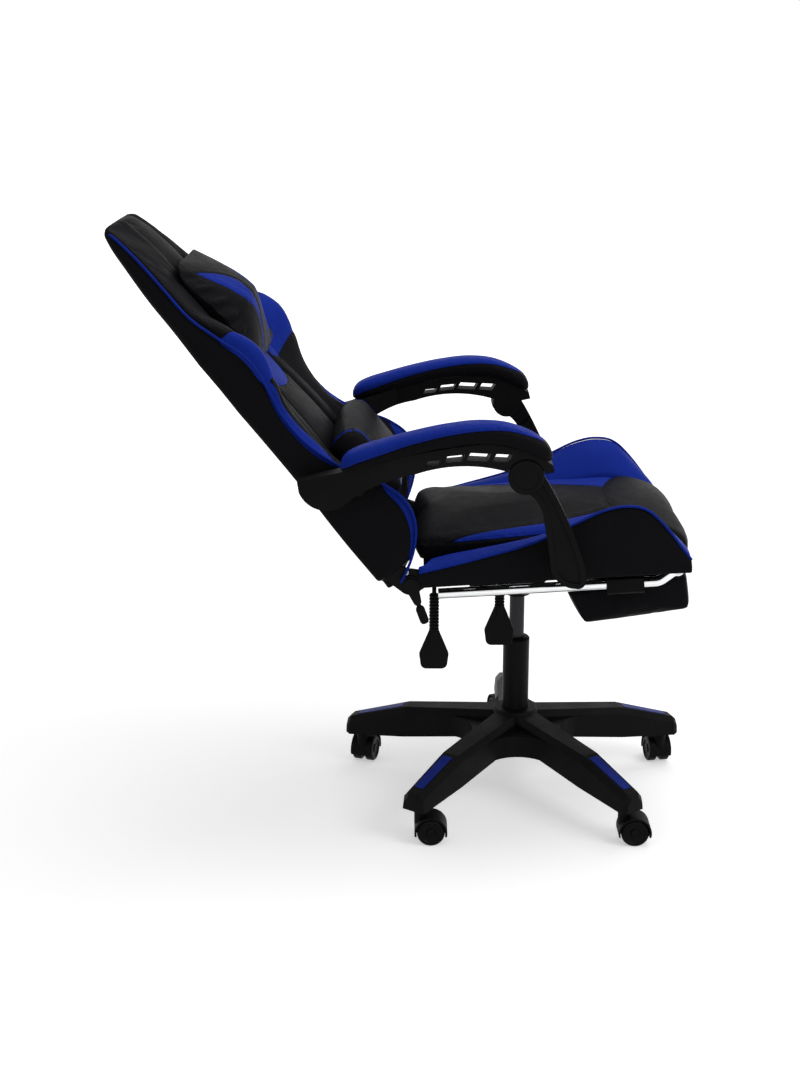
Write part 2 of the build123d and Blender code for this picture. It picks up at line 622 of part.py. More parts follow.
def seat_frame():
    """Welded frame of square tube, with bars over the mechanism plate and the footrest guides."""
    tube, half = SEAT_TUBE, SEAT_FRAME_HALF
    frame = None
    for side in (-half, half - tube):
        rail = block(side, side + tube, -SEAT_FRAME_REAR, SEAT_FRAME_FRONT, 0, tube)
        frame = rail if frame is None else frame + rail
    ends = (-SEAT_FRAME_REAR + tube / 2, SEAT_FRAME_FRONT - tube / 2)
    for middle in (*ends, -CROSS_BAR_OFFSET, CROSS_BAR_OFFSET, GUIDE_MIDDLE):
        frame += block(-half, half, middle - tube / 2, middle + tube / 2, 0, tube)
    for x in (-PLATE_BOLT_X, PLATE_BOLT_X):
        for forward in (-CROSS_BAR_OFFSET, CROSS_BAR_OFFSET):
            frame -= Pos(x, -forward, 0) * Cylinder(4 + RUN, 4 * tube)
    return SEAT * frame


def seat_webbing():
    """Elastic bands hooked from rail to rail under the cushion."""
    count = 5
    span = SEAT_FRAME_FRONT + SEAT_FRAME_REAR - WEBBING_WIDTH - 2 * SEAT_TUBE
    bands = []
    for index in range(count):
        rear = -SEAT_FRAME_REAR + SEAT_TUBE + span * index / (count - 1)
        half = CUSHION_HALF + SEAT_TUBE
        bands.append(block(-half, half, rear, rear + WEBBING_WIDTH, SEAT_TUBE, SEAT_TUBE + WEBBING_THICK))
    return SEAT * Compound(children=bands)


def seat_section(forward, faces):
    """A closed outline set across the seat at a forward place."""
    plane = Plane(origin=(0, -forward, 0), x_dir=(1, 0, 0), z_dir=(0, -1, 0))
    return plane * make_face(faces)


def seat_cushion():
    """Crowned centre cushion with drawn-in sides and a nose that rolls down over the front bar."""
    length = CUSHION_FRONT + CUSHION_REAR
    sections = []
    for share in (0, 0.03, 0.09, 0.19, 0.31, 0.44, 0.57, 0.7, 0.81, 0.89, 0.95, 0.985, 1):
        forward = share * length - CUSHION_REAR
        rear_roll = max(0, 1 - share / 0.09) ** 2
        front_roll = max(0, (share - 0.8) / 0.2) ** 2
        fall = CUSHION_REAR_FALL * rear_roll + CUSHION_NOSE_FALL * front_roll
        half = CUSHION_HALF - CUSHION_WAIST * sin(pi * share) - 8 * (rear_roll + front_roll)
        top = CUSHION_TOP - fall
        crown = CUSHION_CROWN * (1 - fall / CUSHION_TOP)
        sections.append(seat_section(forward, [
            Line((half - 3, CUSHION_HEM), (-half + 3, CUSHION_HEM)),
            bulge((-half + 3, CUSHION_HEM), (-half + 6, top), 3),
            bulge((-half + 6, top), (half - 6, top), crown),
            bulge((half - 6, top), (half - 3, CUSHION_HEM), 3)]))
    rear, front = -SEAT_FRAME_REAR - FOAM_GAP, SEAT_FRAME_FRONT + FOAM_GAP
    return SEAT * (loft(sections) - block(-SEAT_HALF, SEAT_HALF, rear, front, -SEAT_TUBE, FOAM_BASE))


def bolster_top(forward):
    """Height of the bolster's ridge: a smooth line through its measured places."""
    places = BOLSTER_RIDGE
    slopes = []
    for index in range(len(places)):
        before, after = places[max(0, index - 1)], places[min(len(places) - 1, index + 1)]
        slopes.append((after[1] - before[1]) / (after[0] - before[0]))
    index = max(i for i in range(len(places) - 1) if i == 0 or places[i][0] <= forward)
    (start, low), (end, high) = places[index], places[index + 1]
    s = (forward - start) / (end - start)
    bend = (1 - s) * slopes[index] - s * slopes[index + 1] - (1 - 2 * s) * (high - low) / (end - start)
    return low + (high - low) * s + s * (1 - s) * (end - start) * bend


def seat_bolster():
    """Side bolster: an outer panel up to the piped ridge and a rounded face falling to the cushion."""
    inner = CUSHION_HALF + FOAM_GAP
    sections = []
    steps = 14
    for step in range(steps + 1):
        forward = step / steps * (BOLSTER_FRONT + BOLSTER_REAR) - BOLSTER_REAR
        top = bolster_top(forward)
        foot = min(top - 4, 18 + 0.42 * top)
        ridge = SEAT_HALF - 6
        sections.append(seat_section(forward, [
            Line((inner, 0), (SEAT_HALF - 3, 0)), bulge((SEAT_HALF - 3, 0), (ridge, top), -3),
            bulge((ridge, top), (inner, foot), -0.12 * (SEAT_HALF - inner)),
            Line((inner, foot), (inner, 0))]))
    body = loft(sections)
    front = SEAT_FRAME_FRONT + FOAM_GAP
    body -= block(0, POCKET_HALF, -2 * BOLSTER_REAR, front, -1, FOAM_BASE)
    body -= rod_x(RECLINER_LOBE + 4, inner - 1, LEVER_PLATE_X + 8, HINGE_A, HINGE_B)
    swing = HINGE_A + RECLINER_LOBE + 4
    body -= block(0, POCKET_HALF, -2 * BOLSTER_REAR, swing, -1, SEAT_HALF)
    body -= block(0, SEAT_PLATE_X + ARM_BRACKET + FOAM_GAP, FOOT_A - 26, FOOT_A + 26, -1, FOOT_B + 18)
    body -= rod_x(ARM_PIN_RADIUS + 3 + FOAM_GAP, 0, 2 * SEAT_HALF, FOOT_A, FOOT_B)
    return body


def seat_bolsters():
    """Left and right bolster."""
    return SEAT * both(seat_bolster())


def recliner_seat_plates():
    """Steel plates on the seat rails that carry the recliner pivots."""
    face = link((HINGE_A, HINGE_B), (HINGE_A + 26, HINGE_B + 4), RECLINER_LOBE, 14)
    face += link((HINGE_A + 26, HINGE_B + 4), (HINGE_A + 104, SEAT_TUBE / 2), 12, 9)
    plate = side_plate(face, SEAT_PLATE_X, SEAT_PLATE_X + RECLINER_PLATE)
    plate -= rod_x(RECLINER_PIN_RADIUS + RUN, 0, 2 * SEAT_HALF, HINGE_A, HINGE_B)
    for step in (60, 96):
        plate -= rod_x(4 + RUN, 0, 2 * SEAT_HALF, HINGE_A + step, SEAT_TUBE / 2)
    return SEAT * both(plate)


def arm_brackets():
    """Plates welded to the seat rails, each with a shouldered stud through the bolster to the upright."""
    face = link((FOOT_A, FOOT_B), (FOOT_A, SEAT_TUBE / 2), 15, 20)
    plate = side_plate(face, SEAT_PLATE_X, SEAT_PLATE_X + ARM_BRACKET)
    plate -= block(0, 2 * SEAT_HALF, FOOT_A - 40, FOOT_A + 40, -30, 0)
    shoulder = ARM_INNER + 2 - SEAT_GAP
    plate += rod_x(ARM_PIN_RADIUS + 3, SEAT_PLATE_X, shoulder, FOOT_A, FOOT_B)
    return SEAT * both(plate + rod_x(ARM_PIN_RADIUS, shoulder, ARM_CENTRE + 8, FOOT_A, FOOT_B))


def recliner_pivots():
    """Shouldered pivot pins through both plates, with a broad head inside and outside."""
    outer = BACK_PLATE_X + RECLINER_PLATE + RUN
    pin = rod_x(RECLINER_PIN_RADIUS, SEAT_PLATE_X - RUN, outer, HINGE_A, HINGE_B)
    pin += rod_x(RECLINER_PIN_RADIUS + 4, SEAT_PLATE_X - 5, SEAT_PLATE_X - RUN, HINGE_A, HINGE_B)
    reach = outer + RECLINE_ARM_THICK + 2 * SEAT_GAP
    pin += rod_x(RECLINER_PIN_RADIUS, outer, reach, HINGE_A, HINGE_B)
    pin += rod_x(RECLINER_PIN_RADIUS + 2, reach, reach + 4, HINGE_A, HINGE_B)
    return SEAT * both(pin)


def seat_bolts():
    """Bolts of the mechanism plate and of the recliner plates."""
    bolts = []
    for x in (-PLATE_BOLT_X, PLATE_BOLT_X):
        for forward in (-CROSS_BAR_OFFSET, CROSS_BAR_OFFSET):
            shank = Pos(x, -forward, 0) * Cylinder(4, 2 * (SEAT_TUBE - 2))
            shank -= block(-PLATE_HALF_WIDTH, PLATE_HALF_WIDTH, -400, 400, -400, -PLATE_THICK)
            head = Pos(x, -forward, -PLATE_THICK - 5) * extrude(RegularPolygon(7.5, 6), amount=5)
            bolts.append(shank + head)
    for side in (-1, 1):
        for step in (60, 96):
            outer = SEAT_PLATE_X + RECLINER_PLATE
            bolt = rod_x(4, outer - RECLINER_PLATE, outer, HINGE_A + step, SEAT_TUBE / 2)
            bolt += rod_x(6.5, outer, outer + 4, HINGE_A + step, SEAT_TUBE / 2)
            bolts.append(bolt if side > 0 else mirror(bolt, about=Plane.YZ))
    return SEAT * Compound(children=bolts)


def footrest_guides():
    """Plastic blocks under the front of the seat, bored for the footrest tubes."""
    rear, front = GUIDE_MIDDLE - GUIDE_LENGTH / 2, GUIDE_MIDDLE + GUIDE_LENGTH / 2
    half = GUIDE_WIDTH / 2
    low, high = -RAIL_DROP - half, -RAIL_DROP + half
    body = block(RAIL_X - half, RAIL_X + half, rear, front, low, high)
    body = chamfer(body.edges().filter_by(Axis.Y), 4)
    body += block(RAIL_X - 6, RAIL_X + 6, rear + 8, front - 8, high - 2, 0)
    body += block(RAIL_X - half, RAIL_X + half, GUIDE_MIDDLE - SEAT_TUBE, GUIDE_MIDDLE + SEAT_TUBE, -5, 0)
    bore = Rot(90, 0, 0) * Cylinder(RAIL_RADIUS + RUN, 2 * GUIDE_LENGTH)
    body -= Pos(RAIL_X, -GUIDE_MIDDLE, -RAIL_DROP) * bore
    return SEAT * both(body)


def footrest_tubes():
    """Two chromed tubes, open at the rear, bent up at the front to an eye for the pad's hinge rod."""
    plane = Plane(origin=(RAIL_X, 0, 0), x_dir=(0, -1, 0), z_dir=(-1, 0, 0))
    route = FilletPolyline((-RAIL_REAR, -RAIL_DROP), (RAIL_BEND, -RAIL_DROP), (RAIL_TIP, -RAIL_TIP_DROP),
                           radius=3 * RAIL_RADIUS)
    path = plane * route
    tube = sweep(Plane(origin=path @ 0, z_dir=path % 0) * Circle(RAIL_RADIUS), path=path)
    eye = RAIL_RADIUS - 1
    tube += rod_x(RAIL_RADIUS + 2, RAIL_X - eye, RAIL_X + eye, RAIL_TIP, -RAIL_TIP_DROP)
    tube -= rod_x(FOOT_ROD_RADIUS + RUN, 0, 2 * RAIL_X, RAIL_TIP, -RAIL_TIP_DROP)
    hollow = RAIL_BEND + RAIL_REAR - 4 * RAIL_RADIUS
    bore = Rot(90, 0, 0) * Cylinder(RAIL_RADIUS - RAIL_WALL, hollow)
    tube -= Pos(RAIL_X, RAIL_REAR - hollow / 2, -RAIL_DROP) * bore
    return SEAT * both(tube)


def footrest_rod():
    """Hinge rod of the pad, across both tubes, with a cap at each end."""
    reach = RAIL_X + RAIL_RADIUS + SEAT_GAP
    rod = rod_x(FOOT_ROD_RADIUS, -reach, reach, RAIL_TIP, -RAIL_TIP_DROP)
    for low in (-reach - 4, reach):
        rod += rod_x(FOOT_ROD_RADIUS + 3, low, low + 4, RAIL_TIP, -RAIL_TIP_DROP)
    return SEAT * rod


FOOT_PAD = SEAT * Pos(0, -RAIL_TIP, -RAIL_TIP_DROP) * Rot(-FOOT_PAD_SAG, 0, 0)


def footrest_board():
    """Steel board with two knuckles that turn on the hinge rod."""
    low = -RAIL_RADIUS - FOOT_BOARD_THICK
    board = block(-FOOT_PAD_HALF + 12, FOOT_PAD_HALF - 12, -FOOT_PAD_LENGTH + 14, 4, low, -RAIL_RADIUS)
    board = fillet(board.edges().filter_by(Axis.Z), 16)
    for x in (-FOOT_PAD_HALF + 40, FOOT_PAD_HALF - 40):
        board += rod_x(RAIL_RADIUS - 1, x - 14, x + 14, 0, 0)
        board += block(x - 14, x + 14, -RAIL_RADIUS + 1, 0, low + 1, 0)
    board -= rod_x(FOOT_ROD_RADIUS + RUN, -FOOT_PAD_HALF, FOOT_PAD_HALF, 0, 0)
    return FOOT_PAD * board


def footrest_cushion():
    """Crowned pad with drawn-in sides, sewn round the board."""
    top = -RAIL_RADIUS - FOOT_BOARD_THICK - SEAT_GAP
    sections = []
    for share in (0, 0.03, 0.1, 0.22, 0.36, 0.5, 0.64, 0.78, 0.9, 0.97, 1):
        roll = max(0, abs(2 * share - 1) - 0.8) / 0.2
        fall = 14 * roll * roll
        half = FOOT_PAD_HALF - 2 * sin(pi * share) - fall / 2
        low = top - FOOT_PAD_THICK + FOOT_PAD_CROWN + fall
        sections.append(seat_section(FOOT_PAD_NOSE - share * (FOOT_PAD_LENGTH + FOOT_PAD_NOSE), [
            Line((half - 4, top), (-half + 4, top)), bulge((-half + 4, top), (-half + 6, low), -3),
            bulge((-half + 6, low), (half - 6, low), -FOOT_PAD_CROWN + fall / 3),
            bulge((half - 6, low), (half - 4, top), -3)]))
    return FOOT_PAD * loft(sections)


def lever_paddle(forward, top, stem_top):
    """Ribbed sleeve over the rod and a teardrop paddle below it, moulded in one."""
    ribs = []
    valley = SLEEVE_RADIUS - 1.6
    count = int((stem_top - top) / SLEEVE_RIB_PITCH)
    pitch = (stem_top - top) / count
    for index in range(count):
        low = top + index * pitch
        ribs += [(valley, low), (SLEEVE_RADIUS, low + 0.3 * pitch), (SLEEVE_RADIUS, low + 0.7 * pitch)]
    ribs.append((valley, stem_top))
    sleeve = turned([(0, top - 16), (valley, top - 16), *ribs, (0, stem_top)])
    half = PADDLE_WIDTH / 2
    low = top - PADDLE_HEIGHT
    hip = low + 0.4 * PADDLE_HEIGHT
    drop = make_face(Polyline((-SLEEVE_RADIUS, top), (-half, hip), (-0.86 * half, low), (0.86 * half, low),
                              (half, hip), (SLEEVE_RADIUS, top), close=True))
    rounded = drop.vertices().sort_by(Axis.Y)[:4]
    drop = fillet(rounded, 0.4 * half)
    blade = side_plate(drop, -PADDLE_THICK / 2, PADDLE_THICK / 2)
    blade = chamfer(blade.faces().filter_by(Axis.X).edges(), 1.5)
    moulding = sleeve + blade
    bore_low = top - 12
    moulding -= Pos(0, 0, bore_low) * Cylinder(
        LEVER_ROD_RADIUS + RUN, stem_top - bore_low + 1, align=(Align.CENTER, Align.CENTER, Align.MIN))
    return Pos(LEVER_STEM_X, -forward, 0) * moulding


def lever_rod(points, bottom):
    """Bent steel rod: along its level run, then down into the sleeve."""
    x, y, z = points[-1]
    route = FilletPolyline(*points, (x, y, bottom), radius=LEVER_BEND)
    return sweep(Plane(origin=route @ 0, z_dir=route % 0) * Circle(LEVER_ROD_RADIUS), path=route)


def lift_rod():
    """Rod of the lift lever, from over the gas button to the paddle."""
    y = -LIFT_STEM_FORWARD
    points = [(x, rear, LEVER_ROD_Z) for x, rear in ((10, 0), (-64, 0), (-104, y), (LEVER_STEM_X, y))]
    return lever_rod(points, LIFT_PADDLE_TOP_Z - 11) + lever_pivot(LIFT_PIVOT_X, 0, 0)


def lock_rod():
    """Rod of the tilt lock lever, from inside the flange to the paddle."""
    y = -LOCK_STEM_FORWARD
    points = [(-FLANGE_OUTER + 16, y, LEVER_ROD_Z), (LEVER_STEM_X, y, LEVER_ROD_Z)]
    pivot = lever_pivot(LOCK_PIVOT_X, LOCK_STEM_FORWARD, 0)
    return lever_rod(points, LOCK_PADDLE_TOP_Z - 11) + pivot


def recline_arm():
    """Flat recline lever on the right pivot, with a round tang for the grip."""
    foot = (HINGE_FORWARD + RECLINE_SLOPE * RECLINE_GRIP_DROP / 2, HINGE_Z - RECLINE_GRIP_DROP / 2)
    face = link((HINGE_FORWARD, HINGE_Z), foot, RECLINER_PIN_RADIUS + 6, 7)
    arm = side_plate(face, LEVER_PLATE_X, LEVER_PLATE_X + RECLINE_ARM_THICK)
    end = (HINGE_FORWARD + RECLINE_SLOPE * RECLINE_GRIP_DROP, HINGE_Z - RECLINE_GRIP_DROP)
    arm += side_plate(link(foot, end, 4, 4), LEVER_PLATE_X, LEVER_PLATE_X + RECLINE_ARM_THICK)
    arm -= rod_x(RECLINER_PIN_RADIUS + RUN, 0, 2 * SEAT_HALF, HINGE_FORWARD, HINGE_Z)
    return mirror(arm, about=Plane.YZ)


def recline_grip():
    """Soft grip pushed over the lever's tang."""
    middle = LEVER_PLATE_X + RECLINE_ARM_THICK / 2
    length = RECLINE_GRIP_DROP / 2 - 3
    turn = degrees(atan2(RECLINE_SLOPE, 1))
    profile = [(0, -length), (RECLINE_GRIP_RADIUS - 2, -length), (RECLINE_GRIP_RADIUS, -length + 4),
               (RECLINE_GRIP_RADIUS, -4), (RECLINE_GRIP_RADIUS - 2, 0), (0, 0)]
    start_drop = RECLINE_GRIP_DROP / 2 + 9
    forward = HINGE_FORWARD + RECLINE_SLOPE * start_drop
    place = Pos(middle, -forward, HINGE_Z - start_drop) * Rot(-turn, 0, 0)
    grip = place * turned(profile)
    return mirror(grip - mirror(recline_arm(), about=Plane.YZ), about=Plane.YZ)


def back_section(up, inset, edge, inner, centre, swell, groove):
    """Outline across the back: flat rear, sides up to the piping, bolster arcs, three padded channels."""
    half = SEAT_HALF - inset
    corner = 12
    rear = BACK_REAR
    crown = 5
    turn = (half - 0.3 * corner, -rear - 0.3 * corner)
    right = [ThreePointArc((half - corner, -rear), turn, (half, -rear - corner)),
             Line((half, -rear - corner), (half, -edge)), bulge((half, -edge), (inner, -centre), swell),
             bulge((inner, -centre), (groove, -centre), crown)]
    left = [edge_line.mirror(Plane.YZ) for edge_line in reversed(right)]
    outline = right + [bulge((groove, -centre), (-groove, -centre), crown)] + left
    outline.append(Line((-half + corner, -rear), (half - corner, -rear)))
    return Plane(origin=(0, 0, up), x_dir=(1, 0, 0), z_dir=(0, 0, 1)) * make_face(outline)


# Stations up the back: height, inset from the seat's side, piping line, inner edge, centre, swell, groove
BACK_STATIONS = (
    (7, 28, -22, 196, -24, 1, 112),
    (34, 16, 26, 191, -10, 3, 112),
    (72, 8, 68, 190, -4, 6, 112),
    (120, 6, 88, 188, 2, 9, 112),
    (168, 10, 78, 184, 8, 10, 112),
    (228, 18, 43, 176, 14, 8, 111),
    (300, 21, 19, 168, 14, 9, 105),
    (368, 17, 17, 160, 11, 12, 95),
    (428, 4, 31, 152, 9, 19, 82),
    (482, -4, 37, 146, 8, 28, 76),
    (536, 13, 18, 136, 9, 17, 71),
    (590, 44, -3, 124, 10, 10, 68),
    (650, 76, -12, 110, 7, 7, 66),
    (716, 104, -18, 98, 1, 5, 60),
    (764, 124, -22, 86, -8, 3, 54),
    (BACK_TOP, 148, -25, 70, -19, 1, 46),
)


def back_pocket(grow):
    """Outline of the hollow behind the foam that holds the frame, drawn as X and height."""
    right = [(POCKET_HALF, POCKET_LOW), (POCKET_HALF, POCKET_WAIST), (POCKET_SHOULDER_HALF, POCKET_SHOULDER),
             (POCKET_TOP_HALF, POCKET_TOP)]
    points = right + [(-x, z) for x, z in reversed(right)]
    face = make_face(Polyline(*points, close=True))
    return offset(face, grow) if grow else face


def back_cushion():
    """Moulded foam back: wings, side bolsters and three channels, hollow behind for its frame."""
    body = loft([back_section(*station) for station in BACK_STATIONS])
    plane = Plane(origin=(0, -BACK_POCKET_FRONT, 0), x_dir=(1, 0, 0), z_dir=(0, -1, 0))
    body -= extrude(plane * back_pocket(0), amount=-80)
    slot_low = BACK_PLATE_X - FOAM_GAP
    for side in (-1, 1):
        slot = side_plate(offset(back_plate_face(), FOAM_GAP), slot_low, POCKET_HALF)
        relief = rod_x(RECLINER_LOBE + 5, SEAT_PLATE_X - 8, LEVER_PLATE_X + RECLINE_ARM_THICK + 6, 0, 0)
        bore = rod_x(ARM_PIN_RADIUS + 3 + FOAM_GAP, slot_low, 2 * SEAT_HALF, TAIL_OUT, TAIL_UP)
        cut = slot + relief + bore
        body -= cut if side > 0 else mirror(cut, about=Plane.YZ)
    return BACK * body


def back_plate_face():
    """Outline of the back's side plate: recliner lobe, long strap and the arm pivot's lobe."""
    strap = BACK_TUBE_PLANE + 4
    face = link((0, 0), (strap, 46), RECLINER_LOBE, 14) + link((strap, 46), (strap, TAIL_UP), 14, 14)
    return face + link((strap, TAIL_UP), (TAIL_OUT, TAIL_UP), 14, 14)


def recliner_back_plates():
    """Steel side plates of the back, from the recliner pivot up to the stud that the arm's tail turns on."""
    plate = side_plate(back_plate_face(), BACK_PLATE_X, BACK_PLATE_X + RECLINER_PLATE)
    plate -= rod_x(RECLINER_PIN_RADIUS + RUN, 0, 2 * SEAT_HALF, 0, 0)
    plate += rod_x(ARM_PIN_RADIUS + 3, BACK_PLATE_X, TAIL_INNER - SEAT_GAP, TAIL_OUT, TAIL_UP)
    plate += rod_x(ARM_PIN_RADIUS, TAIL_INNER - SEAT_GAP, TAIL_INNER + 20, TAIL_OUT, TAIL_UP)
    return BACK * both(plate)


def back_frame():
    """Bent tube frame of the back with two cross bars, welded inside the side plates."""
    plane = Plane(origin=(0, -BACK_TUBE_PLANE, 0), x_dir=(1, 0, 0), z_dir=(0, -1, 0))
    half = BACK_PLATE_X - SEAT_GAP - BACK_TUBE_RADIUS
    side = [(half, RECLINER_LOBE + 8), (half, 320), (116, 600), (100, 700)]
    route = FilletPolyline(*side, *[(-x, up) for x, up in reversed(side)], radius=40)
    path = plane * route
    frame = sweep(Plane(origin=path @ 0, z_dir=path % 0) * Circle(BACK_TUBE_RADIUS), path=path)
    for up in (70, 310):
        frame += rod_x(BACK_TUBE_RADIUS - 2, -half, half, BACK_TUBE_PLANE, up)
    return BACK * frame


def back_panel():
    """Thin panel that closes the back behind the frame."""
    plane = Plane(origin=(0, -BACK_REAR, 0), x_dir=(1, 0, 0), z_dir=(0, -1, 0))
    face = back_pocket(-FOAM_GAP) - Pos(0, -20) * Rectangle(4 * POCKET_HALF, 70)
    return BACK * extrude(plane * face, amount=BACK_PANEL_THICK)


def pillow(half, low, top, rear_low, rear_top, thickness, stations):
    """A stuffed pillow lofted across the chair: seams above and below, drawn in towards its ends."""
    sections = []
    middle, seam = (low + top) / 2, PILLOW_SEAM * thickness
    slope = (rear_top - rear_low) / (top - low)
    for share, tall, thick in stations:
        plane = Plane(origin=(share * half, 0, 0), x_dir=(0, -1, 0), z_dir=(-1, 0, 0))
        reach = (top - low) / 2 * tall
        centre = (rear_low + rear_top) / 2 + seam
        foot, crest = (centre - slope * reach, middle - reach), (centre + slope * reach, middle + reach)
        sections.append(plane * make_face([
            bulge(foot, crest, seam * thick), bulge(crest, foot, (thickness - seam) * thick)]))
    return BACK * loft(sections)


def head_pillow():
    """Neck pillow, widest at its middle."""
    stations = ((-1, 0.62, 0.35), (-0.86, 0.86, 0.72), (-0.45, 0.98, 0.97), (0, 1, 1), (0.45, 0.98, 0.97),
                (0.86, 0.86, 0.72), (1, 0.62, 0.35))
    return pillow(HEAD_PILLOW_HALF, HEAD_PILLOW_LOW, HEAD_PILLOW_TOP, HEAD_PILLOW_REAR_LOW,
                  HEAD_PILLOW_REAR_TOP, HEAD_PILLOW_THICK, stations)


def lumbar_pillow():
    """Lower back pillow, held against the channels."""
    stations = ((-1, 0.7, 0.35), (-0.88, 0.92, 0.75), (-0.45, 1, 0.97), (0, 0.97, 1), (0.45, 1, 0.97),
                (0.88, 0.92, 0.75), (1, 0.7, 0.35))
    return pillow(LUMBAR_HALF, LUMBAR_LOW, LUMBAR_TOP, LUMBAR_REAR, LUMBAR_REAR, LUMBAR_THICK, stations)


# Upper line of the arm frame, as forward and height
ARM_TAIL = (-393, 681)
ARM_REAR = (-320, 699)
ARM_RISE = (-201, 733)
ARM_TOP = (-82, 752)
ARM_FALL = (-22, 743)
ARM_NOSE = (34, 717)

# Slots in the arm frame: middle forward, middle height, length and height
ARM_SLOTS = ((-164, 720, 25, 8), (-129, 727.5, 31, 11), (-89, 730.5, 36, 13), (-50, 729, 28, 13))


def arm_frame():
    """Moulded arm frame: arched bar with four slots, a long tail and a round boss for the disc."""
    outline = [Line(ARM_TAIL, ARM_REAR), ThreePointArc(ARM_REAR, ARM_RISE, ARM_TOP),
               ThreePointArc(ARM_TOP, ARM_FALL, ARM_NOSE),
               Polyline(ARM_NOSE, (37, 705), (14, 700), (-36, 704)),
               ThreePointArc((-36, 704), (-111, 715), (-194, 701)),
               ThreePointArc((-194, 701), (-255, 682), (-312, 644)),
               ThreePointArc((-312, 644), (-352, 632), (-390, 662)), Line((-390, 662), ARM_TAIL)]
    profile = make_face(outline) + Pos(DISC_FORWARD, DISC_Z) * Circle(DISC_RADIUS - 2)
    for middle, height, length, tall in ARM_SLOTS:
        reach, rise = length / 2, tall / 2
        slot = make_face(Polyline((-reach - 3, -rise), (reach - 4, -rise), (reach + 3, rise),
                                  (-reach + 4, rise), close=True))
        profile -= Pos(middle, height) * Rot(0, 0, 6 if middle < ARM_TOP[0] - 30 else -3) * slot
    body = side_plate(profile, TAIL_INNER, ARM_OUTER)
    outer = [(ARM_OUTER, -60), (ARM_OUTER, 240), (TAIL_INNER + 34, 330), (TAIL_INNER + 28, 400)]
    inner = [(TAIL_INNER, 400), (TAIL_INNER, 300), (ARM_INNER, 230), (ARM_INNER, -60)]
    plan = make_face(Polyline(*outer, *inner, close=True))
    body = body & extrude(plan, amount=2 * DISC_Z)
    body -= rod_x(DISC_RADIUS + 1.5, TONGUE_INNER - SEAT_GAP, 2 * ARM_OUTER, DISC_FORWARD, DISC_Z)
    body -= rod_x(ARM_PIN_RADIUS + RUN, ARM_INNER + 3, TONGUE_OUTER, DISC_FORWARD, DISC_Z)
    body -= rod_x(ARM_PIN_RADIUS + RUN, 0, TAIL_INNER + 20.5, TAIL_FORWARD, TAIL_Z)
    return body


def arc_height(first, second, third, forward):
    """Height at a forward place of the upper arc through three points."""
    (ax, ay), (bx, by), (cx, cy) = first, second, third
    double = 2 * (ax * (by - cy) + bx * (cy - ay) + cx * (ay - by))
    a2, b2, c2 = ax * ax + ay * ay, bx * bx + by * by, cx * cx + cy * cy
    x = (a2 * (by - cy) + b2 * (cy - ay) + c2 * (ay - by)) / double
    z = (a2 * (cx - bx) + b2 * (ax - cx) + c2 * (bx - ax)) / double
    return z + sqrt((ax - x) ** 2 + (ay - z) ** 2 - (forward - x) ** 2)


def arm_pad():
    """Foam arm pad: crowned across, drawn in at both ends, seated along the frame's arch."""
    rear, front = ARM_REAR[0] + 2, ARM_NOSE[0] - 1
    sections = []
    for share in (0, 0.03, 0.08, 0.16, 0.26, 0.37, 0.48, 0.59, 0.69, 0.78, 0.86, 0.92, 0.97, 1):
        forward = rear + share * (front - rear)
        arch = (ARM_REAR, ARM_RISE, ARM_TOP) if forward < ARM_TOP[0] else (ARM_TOP, ARM_FALL, ARM_NOSE)
        low = arc_height(*arch, forward)
        swell = sqrt(1 - max(0, 1 - share / 0.16, 1 - (1 - share) / 0.2) ** 2)
        wide = ARM_PAD_WIDTH / 2 * (0.5 + 0.5 * swell)
        crown = ARM_PAD_CROWN * (0.4 + 0.6 * swell)
        top = low + ARM_PAD_THICK * (0.45 + 0.55 * swell) - crown
        low -= 4
        sections.append(seat_section(forward, [
            Line((wide - 3, low), (-wide + 3, low)), bulge((-wide + 3, low), (-wide + 5, top), 3),
            bulge((-wide + 5, top), (wide - 5, top), crown), bulge((wide - 5, top), (wide - 3, low), 3)]))
    arches = [ThreePointArc(ARM_REAR, ARM_RISE, ARM_TOP), ThreePointArc(ARM_TOP, ARM_FALL, ARM_NOSE)]
    floor = DISC_Z - 2 * DISC_RADIUS
    under = make_face([*arches, Polyline(ARM_NOSE, (ARM_NOSE[0], floor), (ARM_REAR[0], floor), ARM_REAR)])
    seat = Pos(0, 0, BODY_GAP) * side_plate(under, -ARM_PAD_WIDTH, ARM_PAD_WIDTH)
    return Pos(ARM_CENTRE, 0, 0) * (loft(sections) - seat)


def arm_disc():
    """Round cover of the arm joint with the peg that the upright swings on."""
    start = TONGUE_OUTER + SEAT_GAP
    disc = rod_x(DISC_RADIUS, start, start + DISC_THICK, DISC_FORWARD, DISC_Z)
    disc = chamfer(disc.faces().sort_by(Axis.X)[-1].edges(), 2)
    disc -= rod_x(DISC_RADIUS - 8, start + DISC_THICK - 1.2, start + 2 * DISC_THICK, DISC_FORWARD, DISC_Z)
    return disc + rod_x(ARM_PIN_RADIUS, ARM_INNER + 3.5, start, DISC_FORWARD, DISC_Z)


# Side view of the upright: each corner from the crest down and round, and the middle of the arc after it
UPRIGHT_CURVES = (((15, 706), (54, 636)), ((87, 555), (94, 528)), ((94, 508), (88, 501)),
                  ((78, 500), (52, 509)), ((36, 532), (30, 575)), ((22, 622), (8, 654)))
UPRIGHT_ROOT = (-22, 676)


